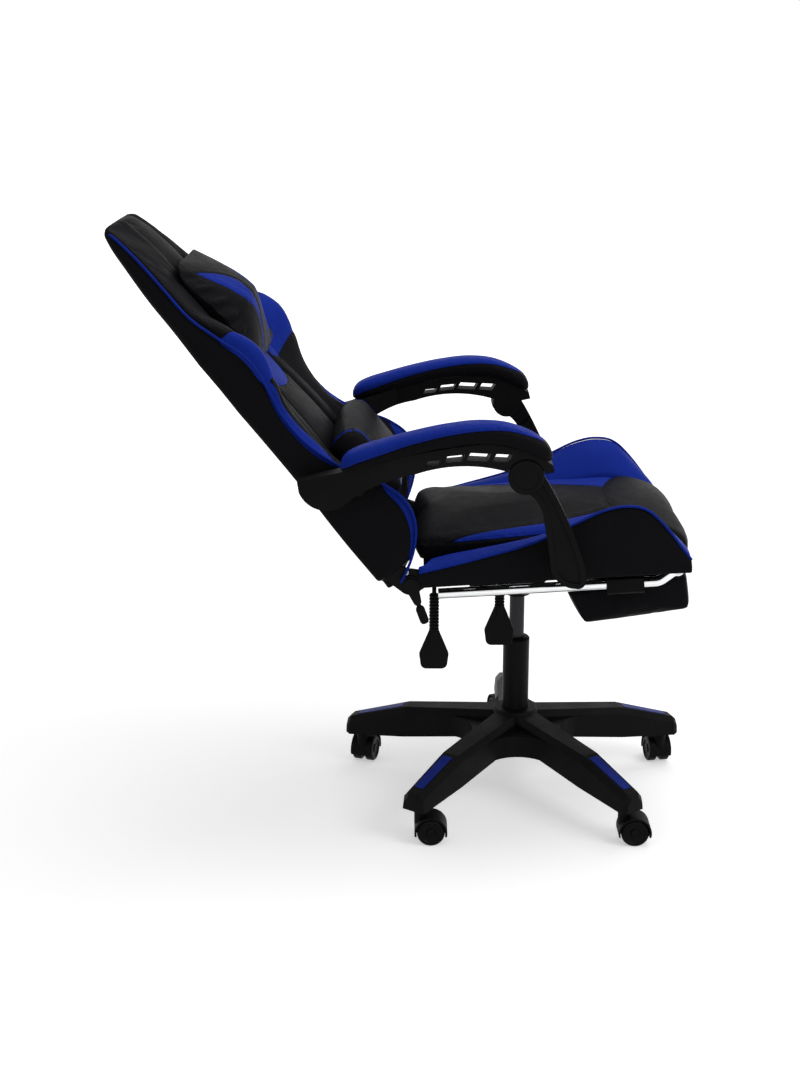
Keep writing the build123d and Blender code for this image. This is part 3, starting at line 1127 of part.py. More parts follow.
def upright():
    """Curved moulded post with a raised rim along its front edge and a thinner tongue at the top."""
    corners = [corner for corner, _ in UPRIGHT_CURVES] + [UPRIGHT_ROOT]
    outline = [ThreePointArc(corner, middle, after)
               for (corner, middle), after in zip(UPRIGHT_CURVES, corners[1:])]
    outline.append(Line(corners[-1], corners[0]))
    face = make_face(outline) + Pos(DISC_FORWARD, DISC_Z) * Circle(DISC_RADIUS - 3)
    inner = ARM_INNER + 2
    body = side_plate(face, inner, TONGUE_OUTER)
    core = offset(make_face(outline), -9)
    body -= side_plate(core, TONGUE_OUTER - 3, TONGUE_OUTER + 5)
    body -= rod_x(DISC_RADIUS + 26, inner - 5, TONGUE_INNER, DISC_FORWARD, DISC_Z)
    body -= rod_x(ARM_PIN_RADIUS + OPEN_PIVOT_PLAY, 0, 2 * ARM_OUTER, DISC_FORWARD, DISC_Z)
    body += rod_x(ARM_PIN_RADIUS + 7, TONGUE_INNER, TONGUE_OUTER - 3.5, UPRIGHT_FOOT_FORWARD, UPRIGHT_FOOT_Z)
    body -= rod_x(ARM_PIN_RADIUS + RUN, 0, ARM_CENTRE + 8.5, UPRIGHT_FOOT_FORWARD, UPRIGHT_FOOT_Z)
    return body


def pieces():
    """Every node of the chair by name."""
    nodes = {
        "star_base": star_base(), "leg_inlays": leg_inlays(), "lift_column": lift_column(),
        "column_bush": column_bush(), "thrust_bearing": thrust_bearing(), "piston_rod": piston_rod(),
        "gas_cylinder": gas_cylinder(), "release_button": release_button(), "tilt_housing": tilt_housing(),
        "tilt_spring": tilt_spring(), "seat_plate": seat_plate(), "tilt_axle": tilt_axle(),
        "seat_frame": seat_frame(), "seat_webbing": seat_webbing(), "seat_cushion": seat_cushion(),
        "seat_bolsters": seat_bolsters(), "recliner_seat_plates": recliner_seat_plates(),
        "arm_brackets": arm_brackets(), "recliner_pivots": recliner_pivots(), "seat_bolts": seat_bolts(),
        "footrest_guides": footrest_guides(),
        "footrest_tubes": footrest_tubes(), "footrest_rod": footrest_rod(),
        "footrest_board": footrest_board(), "footrest_cushion": footrest_cushion(),
        "lift_rod": lift_rod(), "lock_rod": lock_rod(),
        "lift_paddle": lever_paddle(LIFT_STEM_FORWARD, LIFT_PADDLE_TOP_Z, LEVER_ROD_Z - LEVER_BEND),
        "lock_paddle": lever_paddle(LOCK_STEM_FORWARD, LOCK_PADDLE_TOP_Z, LEVER_ROD_Z - LEVER_BEND),
        "recline_arm": recline_arm(), "recline_grip": recline_grip(),
        "back_frame": back_frame(), "back_cushion": back_cushion(), "back_panel": back_panel(),
        "recliner_back_plates": recliner_back_plates(),
        "head_pillow": head_pillow(), "lumbar_pillow": lumbar_pillow(),
    }
    for side, flip in (("left", False), ("right", True)):
        for name, shape in (("arm_frame", arm_frame()), ("arm_pad", arm_pad()), ("arm_disc", arm_disc()),
                            ("upright", upright())):
            nodes[f"{name}_{side}"] = mirror(shape, about=Plane.YZ) if flip else shape
    for index in range(LEG_COUNT):
        for name, shape in (("caster_hood", caster_hood()), ("caster_pins", caster_pins()),
                            ("caster_wheels", caster_wheels())):
            nodes[f"{name}_{index + 1}"] = caster_place(index) * shape
    return nodes


os.makedirs("parts", exist_ok=True)
for node, shape in pieces().items():
    export_step(Compound(shape.solids()), f"parts/{node}.step")
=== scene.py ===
import bmesh
import bpy
import numpy as np
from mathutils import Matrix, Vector


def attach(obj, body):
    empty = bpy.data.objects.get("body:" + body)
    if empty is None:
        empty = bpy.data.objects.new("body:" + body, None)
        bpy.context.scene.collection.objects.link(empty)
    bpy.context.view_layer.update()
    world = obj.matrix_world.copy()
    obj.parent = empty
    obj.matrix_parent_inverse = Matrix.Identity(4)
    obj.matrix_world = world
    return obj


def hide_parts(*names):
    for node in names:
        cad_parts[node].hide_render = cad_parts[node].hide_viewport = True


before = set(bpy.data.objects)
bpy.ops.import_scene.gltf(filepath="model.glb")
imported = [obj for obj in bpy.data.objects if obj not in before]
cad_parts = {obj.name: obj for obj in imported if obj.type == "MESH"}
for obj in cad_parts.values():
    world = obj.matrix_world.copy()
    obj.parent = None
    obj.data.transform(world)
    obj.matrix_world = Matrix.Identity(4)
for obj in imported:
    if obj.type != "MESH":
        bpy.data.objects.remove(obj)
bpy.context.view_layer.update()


# Star base: five hollow legs and a hub, moulded in one piece of black glass-filled nylon.
# The mould leaves a fine spark grain all over, a little smoother where hands and shoes rub it.
def noise(tree, place, scale, detail=2.0):
    """Soft random value from 0 to 1 that changes over about one over scale metres."""
    node = tree.nodes.new("ShaderNodeTexNoise")
    node.inputs["Scale"].default_value = scale
    node.inputs["Detail"].default_value = detail
    tree.links.new(place, node.inputs["Vector"])
    return node.outputs["Fac"]


def spread(tree, value, low, high, first=0.3, last=0.7):
    """Straight line from low at first to high at last, level outside them."""
    node = tree.nodes.new("ShaderNodeMapRange")
    for socket, number in zip(("From Min", "From Max", "To Min", "To Max"), (first, last, low, high)):
        node.inputs[socket].default_value = number
    tree.links.new(value, node.inputs["Value"])
    return node.outputs["Result"]


def shade(tree, value, dark, light):
    """Colour between dark and light in the share that value gives."""
    node = tree.nodes.new("ShaderNodeMix")
    node.data_type = "RGBA"
    tree.links.new(value, node.inputs["Factor"])
    for socket, colour in (("A", dark), ("B", light)):
        target = next(s for s in node.inputs if s.name == socket and s.type == "RGBA")
        if hasattr(colour, "is_linked"):
            tree.links.new(colour, target)
        else:
            target.default_value = (*colour, 1)
    return next(s for s in node.outputs if s.type == "RGBA")


def relief(tree, shader, *layers):
    """Bumps laid over each other, each a height and its depth in metres."""
    normal = None
    for height, depth in layers:
        node = tree.nodes.new("ShaderNodeBump")
        node.inputs["Distance"].default_value = depth
        tree.links.new(height, node.inputs["Height"])
        if normal is not None:
            tree.links.new(normal, node.inputs["Normal"])
        normal = node.outputs["Normal"]
    tree.links.new(normal, shader.inputs["Normal"])


def material(name):
    """An empty shaded material: its tree, its shader and the place on the piece."""
    made = bpy.data.materials.new(name)
    made.use_nodes = True
    tree = made.node_tree
    place = tree.nodes.new("ShaderNodeTexCoord").outputs["Object"]
    shader = tree.nodes["Principled BSDF"]
    shader.inputs["Specular IOR Level"].default_value = 0.06
    return made, tree, shader, place


def moulded(name, dark, light, matt, glossy):
    """Moulded plastic: spark grain a millimetre across, slow changes of shade and of shine."""
    made, tree, shader, place = material(name)
    worn = noise(tree, place, 14, 5)
    tree.links.new(shade(tree, worn, dark, light), shader.inputs["Base Color"])
    tree.links.new(spread(tree, worn, matt, glossy), shader.inputs["Roughness"])
    relief(tree, shader, (noise(tree, place, 1100, 1), 0.00012), (noise(tree, place, 60), 0.0004))
    return made


def dress(finish, *names):
    """Gives CAD nodes a finish in all their material slots."""
    for name in names:
        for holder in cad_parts[name].material_slots:
            holder.material = finish


black_nylon = moulded("black_nylon", (0.0024, 0.0024, 0.0028), (0.0050, 0.0050, 0.0055), 0.58, 0.44)
dress(black_nylon, "star_base")

# Leg inlays: thin blue strips pressed into shallow beds on the sloping end of each leg.
# They are coloured through and have a satin face.
dress(moulded("blue_plastic", (0.006, 0.016, 0.17), (0.010, 0.026, 0.25), 0.45, 0.34), "leg_inlays")

# Casters: a hooded fork of black nylon on a steel stem, with two dished wheels on one axle.
# The treads are harder and shinier than the hoods.
tread = moulded("caster_tread", (0.0026, 0.0026, 0.0029), (0.0060, 0.0060, 0.0064), 0.45, 0.30)
for number in range(1, 6):
    dress(black_nylon, f"caster_hood_{number}")
    dress(tread, f"caster_wheels_{number}")


# Lift column and tilt mechanism: steel tube, pressings and pins under the seat.
# Outer parts are powder coated black, the gas cylinder is satin grey, pins and springs are zinc plated.
def coated(name, dark, light, matt, glossy):
    """Powder coat: a low orange peel of two sizes and a patchy shine."""
    made, tree, shader, place = material(name)
    patch = noise(tree, place, 9, 4)
    tree.links.new(shade(tree, patch, dark, light), shader.inputs["Base Color"])
    tree.links.new(spread(tree, patch, matt, glossy), shader.inputs["Roughness"])
    relief(tree, shader, (noise(tree, place, 420, 2), 0.00018))
    return made


def plated(name, dark, light, matt, glossy):
    """Bare or plated metal: cloudy spangle in the colour and short rubbed marks in the shine."""
    made, tree, shader, place = material(name)
    shader.inputs["Metallic"].default_value = 1
    tree.links.new(shade(tree, noise(tree, place, 90, 3), dark, light), shader.inputs["Base Color"])
    tree.links.new(spread(tree, noise(tree, place, 30, 6), matt, glossy), shader.inputs["Roughness"])
    relief(tree, shader, (noise(tree, place, 700, 2), 0.00002))
    return made


black_steel = coated("black_steel", (0.0024, 0.0024, 0.0027), (0.0048, 0.0048, 0.0052), 0.45, 0.32)
zinc = plated("zinc", (0.50, 0.51, 0.53), (0.68, 0.69, 0.70), 0.38, 0.24)
dress(black_steel, "lift_column", "tilt_housing", "seat_plate", "seat_frame", "recliner_seat_plates",
      "arm_brackets", "recliner_back_plates", "recline_arm", "lift_rod", "lock_rod", "footrest_board",
      "back_frame")
dress(coated("grey_cylinder", (0.045, 0.046, 0.050), (0.070, 0.071, 0.075), 0.40, 0.28), "gas_cylinder")
dress(zinc, "piston_rod", "thrust_bearing", "release_button", "tilt_spring", "tilt_axle", "seat_bolts")
dress(black_steel, "recliner_pivots", *[f"caster_pins_{number}" for number in range(1, 6)])
dress(black_nylon, "column_bush", "footrest_guides")


# Elastic bands: five woven strips hooked from rail to rail under the seat cushion.
# Each is 50 mm wide and 2 mm thick, with raised cords along its length.
def seat_place(across, ahead, above):
    """Seat plane to room in metres: the plane leans back 3.5 degrees, 494 mm up at the swivel axis."""
    lean, plane_z = np.radians(3.5), 494
    y = above * np.sin(lean) - ahead * np.cos(lean)
    z = plane_z + ahead * np.sin(lean) + above * np.cos(lean)
    return np.stack(np.broadcast_arrays(across, y, z), -1) / 1000


def skin(name, points, marks=None):
    """Smooth closed skin over rings of points, merged at its poles; marks are kept as attributes."""
    rows, ring = points.shape[:2]
    index = np.arange(rows * ring).reshape(rows, ring)
    after = np.roll(index, -1, 1)
    faces = np.stack([index[:-1], after[:-1], after[1:], index[1:]], -1).reshape(-1, 4)
    mesh = bpy.data.meshes.new(name)
    mesh.from_pydata(points.reshape(-1, 3).tolist(), [], faces.tolist())
    for mark, values in (marks or {}).items():
        values = np.broadcast_to(values, (rows, ring)).astype(np.float32)
        mesh.attributes.new(mark, "FLOAT", "POINT").data.foreach_set("value", values.ravel())
    work = bmesh.new()
    work.from_mesh(mesh)
    bmesh.ops.remove_doubles(work, verts=work.verts, dist=1e-6)
    bmesh.ops.recalc_face_normals(work, faces=work.faces)
    work.to_mesh(mesh)
    work.free()
    mesh.shade_smooth()
    piece = bpy.data.objects.new(name, mesh)
    bpy.context.scene.collection.objects.link(piece)
    return piece


elastic, tree, shader, place = material("elastic")
cords = tree.nodes.new("ShaderNodeTexWave")
cords.bands_direction = "Y"
cords.inputs["Scale"].default_value = 90
tree.links.new(place, cords.inputs["Vector"])
# Painted shade: the band's colour is darker in the valleys between the raised cords and lighter on their tops,
# on the same wave as their bump.
cord_shade_colour = shade(tree, cords.outputs["Fac"], (0.018, 0.018, 0.019), (0.05, 0.05, 0.052))
tree.links.new(cord_shade_colour, shader.inputs["Base Color"])
tree.links.new(spread(tree, noise(tree, place, 40), 0.85, 0.95), shader.inputs["Roughness"])
relief(tree, shader, (cords.outputs["Fac"], 0.0006), (noise(tree, place, 1500), 0.0002))
band_half, band_level, band_reach = 25, 21, 203
lap = np.linspace(0, 2 * np.pi, 56, endpoint=False)
wide = band_half * np.sign(np.cos(lap)) * np.abs(np.cos(lap)) ** 0.25
thick = 0.9 * np.sign(np.sin(lap)) * np.abs(np.sin(lap)) ** 0.5
across = np.concatenate([[-band_reach], np.linspace(-band_reach, band_reach, 60), [band_reach]])[:, None]
closed = np.ones_like(across)
closed[[0, -1]] = 0
for number, rear in enumerate((-158, -74.5, 9, 92.5, 176), 1):
    points = seat_place(across, rear + band_half + closed * wide, band_level + closed * thick)
    band = skin(f"seat_band_{number}", points)
    band.data.materials.append(elastic)
    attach(band, "seat")
    if number == 1:
        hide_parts("seat_webbing")


# Seat cushion: moulded foam under sewn artificial leather, black along the middle and over the nose.
# Blue wedges start low on each side and widen towards the front, where a separate patch closes the cover.
def math(tree, operation, first, second=None):
    """Sum, product or other result of one or two values."""
    node = tree.nodes.new("ShaderNodeMath")
    node.operation = operation
    tree.links.new(first, node.inputs[0])
    if second is not None:
        tree.links.new(second, node.inputs[1])
    return node.outputs["Value"]


def leather(name):
    """Coated leather, black or blue: pebble grain, sunken seams with painted shade darkening the colour along
    them, with puckers and a row of stitches by them.

    Its marks are signed millimetres to the edge of the blue, positive within it, and to any other seam.
    """
    made, tree, shader, place = material(name)
    marks = {}
    for mark in ("blue", "seam"):
        node = tree.nodes.new("ShaderNodeAttribute")
        node.attribute_name = mark
        marks[mark] = node.outputs["Fac"]
    cloud = noise(tree, place, 22, 5)
    black = shade(tree, cloud, (0.0062, 0.0062, 0.0072), (0.0078, 0.0078, 0.0090))
    blue = shade(tree, cloud, (0.0070, 0.0200, 0.210), (0.0090, 0.0265, 0.262))
    side = spread(tree, marks["blue"], 0, 1, -0.2, 0.2)
    panel = shade(tree, side, black, blue)
    near = math(tree, "MINIMUM", *(math(tree, "ABSOLUTE", marks[mark]) for mark in ("blue", "seam")))
    # Painted shade: within 0.3 to 1.8 mm of each seam and of the blue's edge the colour falls to near black,
    # standing in for shade in the sewn dip.
    seam_dip_and_shade = spread(tree, near, 0, 1, 0.3, 1.8)
    tree.links.new(shade(tree, seam_dip_and_shade, (0.003, 0.003, 0.004), panel), shader.inputs["Base Color"])
    tree.links.new(spread(tree, noise(tree, place, 45, 4), 0.47, 0.40), shader.inputs["Roughness"])
    shader.inputs["Specular IOR Level"].default_value = 0.012
    cells = tree.nodes.new("ShaderNodeTexVoronoi")
    cells.inputs["Scale"].default_value = 620
    tree.links.new(place, cells.inputs["Vector"])
    pucker = math(tree, "MULTIPLY", noise(tree, place, 95, 2), spread(tree, near, 1, 0, 2, 22))
    beside = math(tree, "MULTIPLY", spread(tree, near, 0, 1, 4.0, 4.6), spread(tree, near, 1, 0, 5.4, 6.0))
    thread = tree.nodes.new("ShaderNodeTexWave")
    thread.bands_direction = "DIAGONAL"
    thread.inputs["Scale"].default_value = 62
    tree.links.new(place, thread.inputs["Vector"])
    stitch = math(tree, "MULTIPLY", beside, spread(tree, thread.outputs["Fac"], 0, 1, 0.25, 0.5))
    relief(tree, shader, (noise(tree, place, 30, 3), 0.0002), (pucker, 0.0030),
           (cells.outputs["Distance"], 0.00022), (seam_dip_and_shade, 0.0008), (stitch, 0.0005))
    return made


def block_grid(half, radius, step):
    """Rounded block: rings round a box, from the middle of one end to the other, edges drawn in to a radius."""
    half = np.array(half, float)
    count = np.maximum(4, np.round(2 * half / step).astype(int))
    caps = max(3, int(round(half[:2].min() / step)))
    wide, tall = (np.linspace(-1, 1, n, endpoint=False) for n in count[:2])
    loop = np.concatenate([
        np.stack([wide, -np.ones_like(wide)], 1), np.stack([np.ones_like(tall), tall], 1),
        np.stack([-wide, np.ones_like(wide)], 1), np.stack([-np.ones_like(tall), -tall], 1)])
    reach = np.concatenate([
        np.linspace(0, 1, caps, endpoint=False), np.ones(count[2] + 1), np.linspace(1, 0, caps + 1)[1:]])
    along = np.concatenate([-np.ones(caps), np.linspace(-1, 1, count[2] + 1), np.ones(caps)])
    flat = np.empty((len(reach), len(loop), 3))
    flat[..., :2] = reach[:, None, None] * loop
    flat[..., 2] = along[:, None]
    flat *= half
    core = np.clip(flat, radius - half, half - radius)
    out = flat - core
    return np.moveaxis(core + radius * out / np.linalg.norm(out, axis=-1, keepdims=True), -1, 0)


def stuffed(piece, cap):
    """Packs a cover: cloth blown out evenly, fixed where its held mark is 1, moving cap metres at most."""
    mesh = piece.data
    moments = 14
    rest = np.empty(len(mesh.vertices) * 3, np.float32)
    mesh.vertices.foreach_get("co", rest)
    held = np.empty(len(mesh.vertices), np.float32)
    mesh.attributes["held"].data.foreach_get("value", held)
    group = piece.vertex_groups.new(name="held")
    group.add(np.flatnonzero(held > 0.5).tolist(), 1, "REPLACE")
    cloth = piece.modifiers.new("stuffing", "CLOTH")
    cloth.settings.vertex_group_mass = "held"
    cloth.settings.use_pressure = True
    cloth.settings.uniform_pressure_force = 3.0
    cloth.settings.effector_weights.gravity = 0
    cloth.settings.quality = 4
    cloth.settings.tension_stiffness = cloth.settings.compression_stiffness = 30
    cloth.settings.bending_stiffness = 2
    cloth.point_cache.frame_end = moments
    for moment in range(1, moments + 1):
        bpy.context.scene.frame_set(moment)
    blown = np.empty_like(rest)
    piece.evaluated_get(bpy.context.evaluated_depsgraph_get()).data.vertices.foreach_get("co", blown)
    piece.modifiers.remove(cloth)
    piece.vertex_groups.clear()
    bpy.context.scene.frame_set(1)
    move = (blown - rest).reshape(-1, 3)
    length = np.linalg.norm(move, axis=1, keepdims=True)
    move *= np.minimum(1, cap / np.maximum(length, 1e-9))
    mesh.vertices.foreach_set("co", rest + move.ravel())
    mesh.update()
    smooth = piece.modifiers.new("fine", "SUBSURF")
    smooth.levels = smooth.render_levels = 1


def groove(distance, depth, width):
    """Depth of a sewn line, falling away as a bell with distance from it."""
    return depth * np.exp(-((distance / width) ** 2))


def flowing(at, knots, values):
    """Smooth cubic line through the values, each knot's slope taken from its neighbours."""
    knots, values = np.array(knots, float), np.array(values, float)
    slope = np.gradient(values, knots)
    at = np.clip(at, knots[0], knots[-1])
    i = np.clip(np.searchsorted(knots, at) - 1, 0, len(knots) - 2)
    gap = knots[i + 1] - knots[i]
    s = (at - knots[i]) / gap
    return ((2 * s**3 - 3 * s**2 + 1) * values[i] + (s**3 - 2 * s**2 + s) * gap * slope[i]
            + (3 * s**2 - 2 * s**3) * values[i + 1] + (s**3 - s**2) * gap * slope[i + 1])


far_off = 90  # millimetres that stand for no seam nearby
cover = leather("cover_leather")
half_width, half_height, half_length = 181, 30, 243
across, height, along = block_grid((half_width, half_height, half_length), 21, 6.5)
ahead = along + 52
share = (ahead + 192) / 488
across = across * (1 - 0.016 * np.sin(np.pi * share))
crown = 9 * (1 - (across / half_width) ** 2)
heel = 10 * np.clip(1 - share / 0.09, 0, 1) ** 2
nose = 38 * np.clip((share - 0.8) / 0.2, 0, 1) ** 2
top = 69 + crown - heel - nose
low = 23 - 20 * np.clip((ahead - 248) / 10, 0, 1)
level = (height + half_height) / (2 * half_height)
above = low + (top - low) * level
tongue = np.abs(across) - flowing(ahead, (-140, -99, -43, 13, 41, 92, 150, 180),
                                  (180, 170, 157, 144, 137, 118, 88, 66))
patch = ahead - (162 + 16 * (across / 110) ** 2)
edge = np.interp(ahead, (-124, 40), (58, 63))
blue = np.minimum(np.minimum(tongue, -patch), np.where(level > 0.95, 50, above - edge))
on_face = (patch < 2) & (above > 56)
on_side = (patch < 2) & (np.abs(across) > 165) & (ahead > -140)
seam = np.minimum(np.where(on_face, np.abs(tongue), far_off), np.where(level > 0.2, np.abs(patch), far_off))
seam = np.minimum(seam, np.where(on_side, np.abs(above - edge), far_off))
above = above - np.where(level > 0.3, groove(seam, 4.0, 7.0), 0)
line = np.where(level > 0.2, patch, np.copysign(far_off, patch))
cushion = skin("seat_cover", seat_place(across, ahead, above),
               {"blue": blue, "seam": line, "held": (level < 0.06) | (seam < 3)})
cushion.data.materials.append(cover)
stuffed(cushion, 0.006)
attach(cushion, "seat")
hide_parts("seat_cushion")


# Seat bolsters: foam wings beside the cushion, low behind and high in front of the middle.
# The inner face is blue, the outer panel black, and a blue piping is sewn into the ridge between them.
def welt(name, line, radius):
    """Piping: a small circle carried square to a line, closed to a point at both ends."""
    line = np.concatenate([line[:1], line, line[-1:]])
    way = np.gradient(line[1:-1], axis=0)
    way = np.concatenate([way[:1], way, way[-1:]])
    way /= np.linalg.norm(way, axis=1, keepdims=True)
    side = np.cross(way, (1.0, 0.35, 0.2))
    side /= np.linalg.norm(side, axis=1, keepdims=True)
    lift = np.cross(way, side)
    size = np.full((len(line), 1, 1), radius)
    size[[0, -1]] = 0
    turn = np.linspace(0, 2 * np.pi, 12, endpoint=False)[None, :, None]
    circle = np.cos(turn) * side[:, None] + np.sin(turn) * lift[:, None]
    return skin(name, line[:, None] + size * circle, {"blue": 40, "seam": far_off})


def ridge_height(ahead):
    """Height of the bolster's ridge over the seat plane."""
    return flowing(ahead, (-190, -88, 33, 85, 141, 171, 214, 247, 270, 284),
                   (26, 46, 77, 99, 121, 125, 113, 76, 42, 22))


rear_end, front_end, outer, crest = -186.5, 284, 261, 258
caps, rows = 4, 76
ahead = np.concatenate([
    [rear_end] * caps, np.linspace(rear_end, front_end, rows), [front_end] * caps])[:, None]
drawn = np.concatenate([
    np.linspace(0, 1, caps, endpoint=False), np.ones(rows), np.linspace(1, 0, caps + 1)[1:]])[:, None]
ridge = ridge_height(ahead)
inner = 184 + 50 * np.clip((-166 - ahead) / 8, 0, 1)
foot = np.minimum(ridge - 4, 18 + 0.42 * ridge)
sole = 23 * np.clip((248 - ahead) / 6, 0, 1) * np.clip((ridge - 20) / 20, 0.1, 1)
under, rise, face, wall = (np.linspace(0, 1, count)[:-1] for count in (13, 15, 17, 9))
section_x = np.concatenate([
    inner + (outer - inner) * under + 0 * ridge, outer - 3 * rise + 4.5 * np.sin(np.pi * rise) + 0 * ridge,
    crest + (inner - crest) * face, inner + 0 * wall], 1)
section_z = np.concatenate([
    np.where(under < 0.62, sole, 1 + 0 * sole), 1 + (ridge - 1) * rise,
    ridge + (foot - ridge) * face + 11 * np.sin(np.pi * face), foot + (sole - foot) * wall], 1)
place_on = np.concatenate([-60 + 0 * under, -60 * (1 - rise), 90 * face, 60 + 0 * wall])[None, :] + 0 * ridge
middle_x, middle_z = section_x.mean(1, keepdims=True), section_z.mean(1, keepdims=True)
section_x = middle_x + (section_x - middle_x) * drawn
section_z = middle_z + (section_z - middle_z) * drawn
held = (np.abs(place_on) < 5) | (place_on <= -55) | (section_z < 3) | (drawn < 0.9)
for side, sign in (("left", 1), ("right", -1)):
    bolster = skin(f"seat_bolster_{side}", seat_place(sign * section_x, ahead, section_z),
                   {"blue": place_on, "seam": far_off, "held": held})
    bolster.data.materials.append(cover)
    stuffed(bolster, 0.005)
    line = np.linspace(rear_end + 1, front_end - 1, 120)
    path = seat_place(sign * (crest + 1.0) + 0 * line, line, ridge_height(line) + 1.2)
    piping = welt(f"seat_piping_{side}", path, 0.0023)
    piping.data.materials.append(cover)
    for piece, slot_name in ((bolster, "black_leather"), (piping, "blue_leather")):
        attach(piece, "seat")
    if side == "left":
        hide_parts("seat_bolsters")


# Back: one tall moulded foam body with shoulder wings, covered front and rear in sewn leather.
# Two grooves run up the middle; shoulders, centre tab and strips along the edge are blue, and piping rims it.
def back_place(across, out, up):
    """Back line to room in metres: out from the hinge line and up along the back, leaning 38.7 degrees."""
    lean, hinge_y, hinge_z = np.radians(38.7), 202, 485
    y = hinge_y - out * np.cos(lean) + up * np.sin(lean)
    z = hinge_z + up * np.cos(lean) + out * np.sin(lean)
    return np.stack(np.broadcast_arrays(across, y, z), -1) / 1000


# Each station: up, half width, edge's depth, wing's inner end, middle's depth, swell, channel, rear's depth.
stations = np.array([
    (7, 236, -22, 196, -24, 1, 112, -44), (34, 248, 26, 191, -10, 3, 112, -43),
    (72, 256, 68, 190, -4, 6, 112, -42), (120, 258, 88, 188, 2, 10, 112, -42),
    (168, 254, 78, 184, 8, 12, 112, -42), (228, 246, 43, 176, 14, 11, 111, -41),
    (300, 243, 19, 168, 15, 11, 105, -40), (368, 247, 17, 160, 12, 15, 95, -39),
    (428, 260, 31, 152, 9, 22, 82, -37), (482, 268, 37, 146, 8, 29, 76, -36),
    (536, 251, 18, 136, 9, 26, 71, -37), (590, 220, -3, 124, 9, 13, 68, -41),
    (650, 188, -12, 110, 4, 9, 66, -47), (716, 160, -20, 98, -3, 7, 60, -48),
    (764, 140, -29, 86, -11, 6, 54, -47), (794, 119, -39, 70, -18, 5, 46, -44)], float)


def back_line(up, column):
    """One measure of the back's section at a height along it."""
    return flowing(up, stations[:, 0], stations[:, column])


caps, rows, lip = 5, 130, 13
bottom, brow = 7, 781
roll = np.linspace(0, np.pi / 2, 8)[1:]
up = np.concatenate([
    [bottom] * caps, np.linspace(bottom, brow, rows), brow + lip * np.sin(roll),
    [brow + lip] * (caps - 1)])[:, None]
shrink = np.concatenate([np.zeros(caps + rows), lip * (1 - np.cos(roll)), [lip] * (caps - 1)])[:, None]
drawn = np.concatenate([
    np.linspace(0, 1, caps, endpoint=False), np.ones(rows + len(roll)), np.linspace(1, 0, caps)[1:]])[:, None]
half, edge, inner, centre, swell, channel, behind = (back_line(up, column) for column in range(1, 8))
half = np.minimum(half, 213 + 45 * np.clip((up - 27) / 8, 0, 1) ** 2)
rear, turn, wing, front = (np.linspace(0, 1, n, endpoint=False)[None] for n in (13, 12, 26, 23))
wing = wing ** 1.5
rear_x, rear_v = rear * (half - 16), behind + 0 * rear
bend = ((1 - turn) ** 3, 3 * turn * (1 - turn) ** 2, 3 * turn**2 * (1 - turn), turn**3)
turn_x = bend[0] * (half - 16) + bend[1] * (half + 3) + bend[2] * (half + 5) + bend[3] * half
turn_v = bend[0] * behind + bend[1] * behind + bend[2] * (edge - 0.45 * (edge - behind)) + bend[3] * edge
run_x, run_v = inner - half, centre - edge
chord = np.hypot(run_x, run_v)
puff = swell * np.sin(np.pi * wing ** (0.85 - 0.43 * np.clip((up - 330) / 80, 0, 1)))
wing_x = half + run_x * wing + puff * run_v / chord
wing_v = edge + run_v * wing - puff * run_x / chord
front_x = inner * (1 - front)
beside = np.clip((front_x - channel) / np.maximum(inner - channel, 1), 0, 1)
within = np.clip(front_x / channel, 0, 1)
front_v = centre + 5 * np.sin(np.pi * beside) + 7 * (1 - within**2) * (front_x < channel)
front_v = front_v - groove(front_x - channel, 7, 8) * np.clip((690 - up) / 50, 0, 1)
last_x, last_v = 0 * half, centre + 7
side_x = np.concatenate([rear_x, turn_x, wing_x, front_x, last_x], 1)
side_v = np.concatenate([rear_v, turn_v, wing_v, front_v, last_v], 1)
past = np.concatenate([
    -far_off + 0 * rear_x, (turn - 1) * 60 + 0 * half, wing * chord,
    chord + (inner - front_x), chord + inner], 1)
across = np.concatenate([side_x, -side_x[:, -2:0:-1]], 1)
out = np.concatenate([side_v, side_v[:, -2:0:-1]], 1)
past = np.concatenate([past, past[:, -2:0:-1]], 1)
wide = np.abs(across)
shoulder = np.minimum(up - np.interp(wide, (86, 100, 131, 179, 212, 260), (449, 425, 411, 420, 425, 430)),
                      np.interp(wide, (90, 140, 200, 226, 245), (480, 500, 520, 526, 534)) - up)
shoulder = np.where(wide > channel, shoulder, -far_off)
tab = np.where(wide < channel, np.minimum(up - 380 - 20 * (wide / 78) ** 2, 500 - up), -far_off)
strip = np.interp(up, (20, 50, 95, 140, 170, 238, 285, 344, 384, 438),
                  (0, 22, 30, 22, 0, 0, 34, 21, 11, 0)) - past
strip = np.where(np.interp(up, (20, 170, 171, 237, 238), (0, 0, 1, 1, 0)) > 0.5, -far_off, strip)
blue = np.where(past >= 0, np.maximum(np.maximum(shoulder, tab), strip), past)
fade = np.clip(up - 640, 0, far_off)
seam = np.where(past > 0, np.minimum(np.abs(blue), np.abs(wide - channel) + fade), far_off)
middle = out.mean(1, keepdims=True)
across = across * drawn * (1 - shrink / 119)
sewn = np.where(past > 6, groove(np.minimum(seam, 60), 2.2, 6), 0)
out = middle + (out - middle) * drawn * (1 - shrink / 17) - sewn
held = (np.abs(past) < 5) | (past < -70) | ((past > 0) & (seam < 3)) | (drawn < 0.99)
line = np.where(past > 0, (wide - channel) * (1 + fade), far_off)
cover_back = skin("back_cover", back_place(across, out, up), {"blue": blue, "seam": line, "held": held})
cover_back.data.materials.append(cover)
stuffed(cover_back, 0.006)
climb = np.linspace(12, 778, 200)
descent = climb[::-1]
over = np.linspace(1, -1, 40)
proud = 1.5
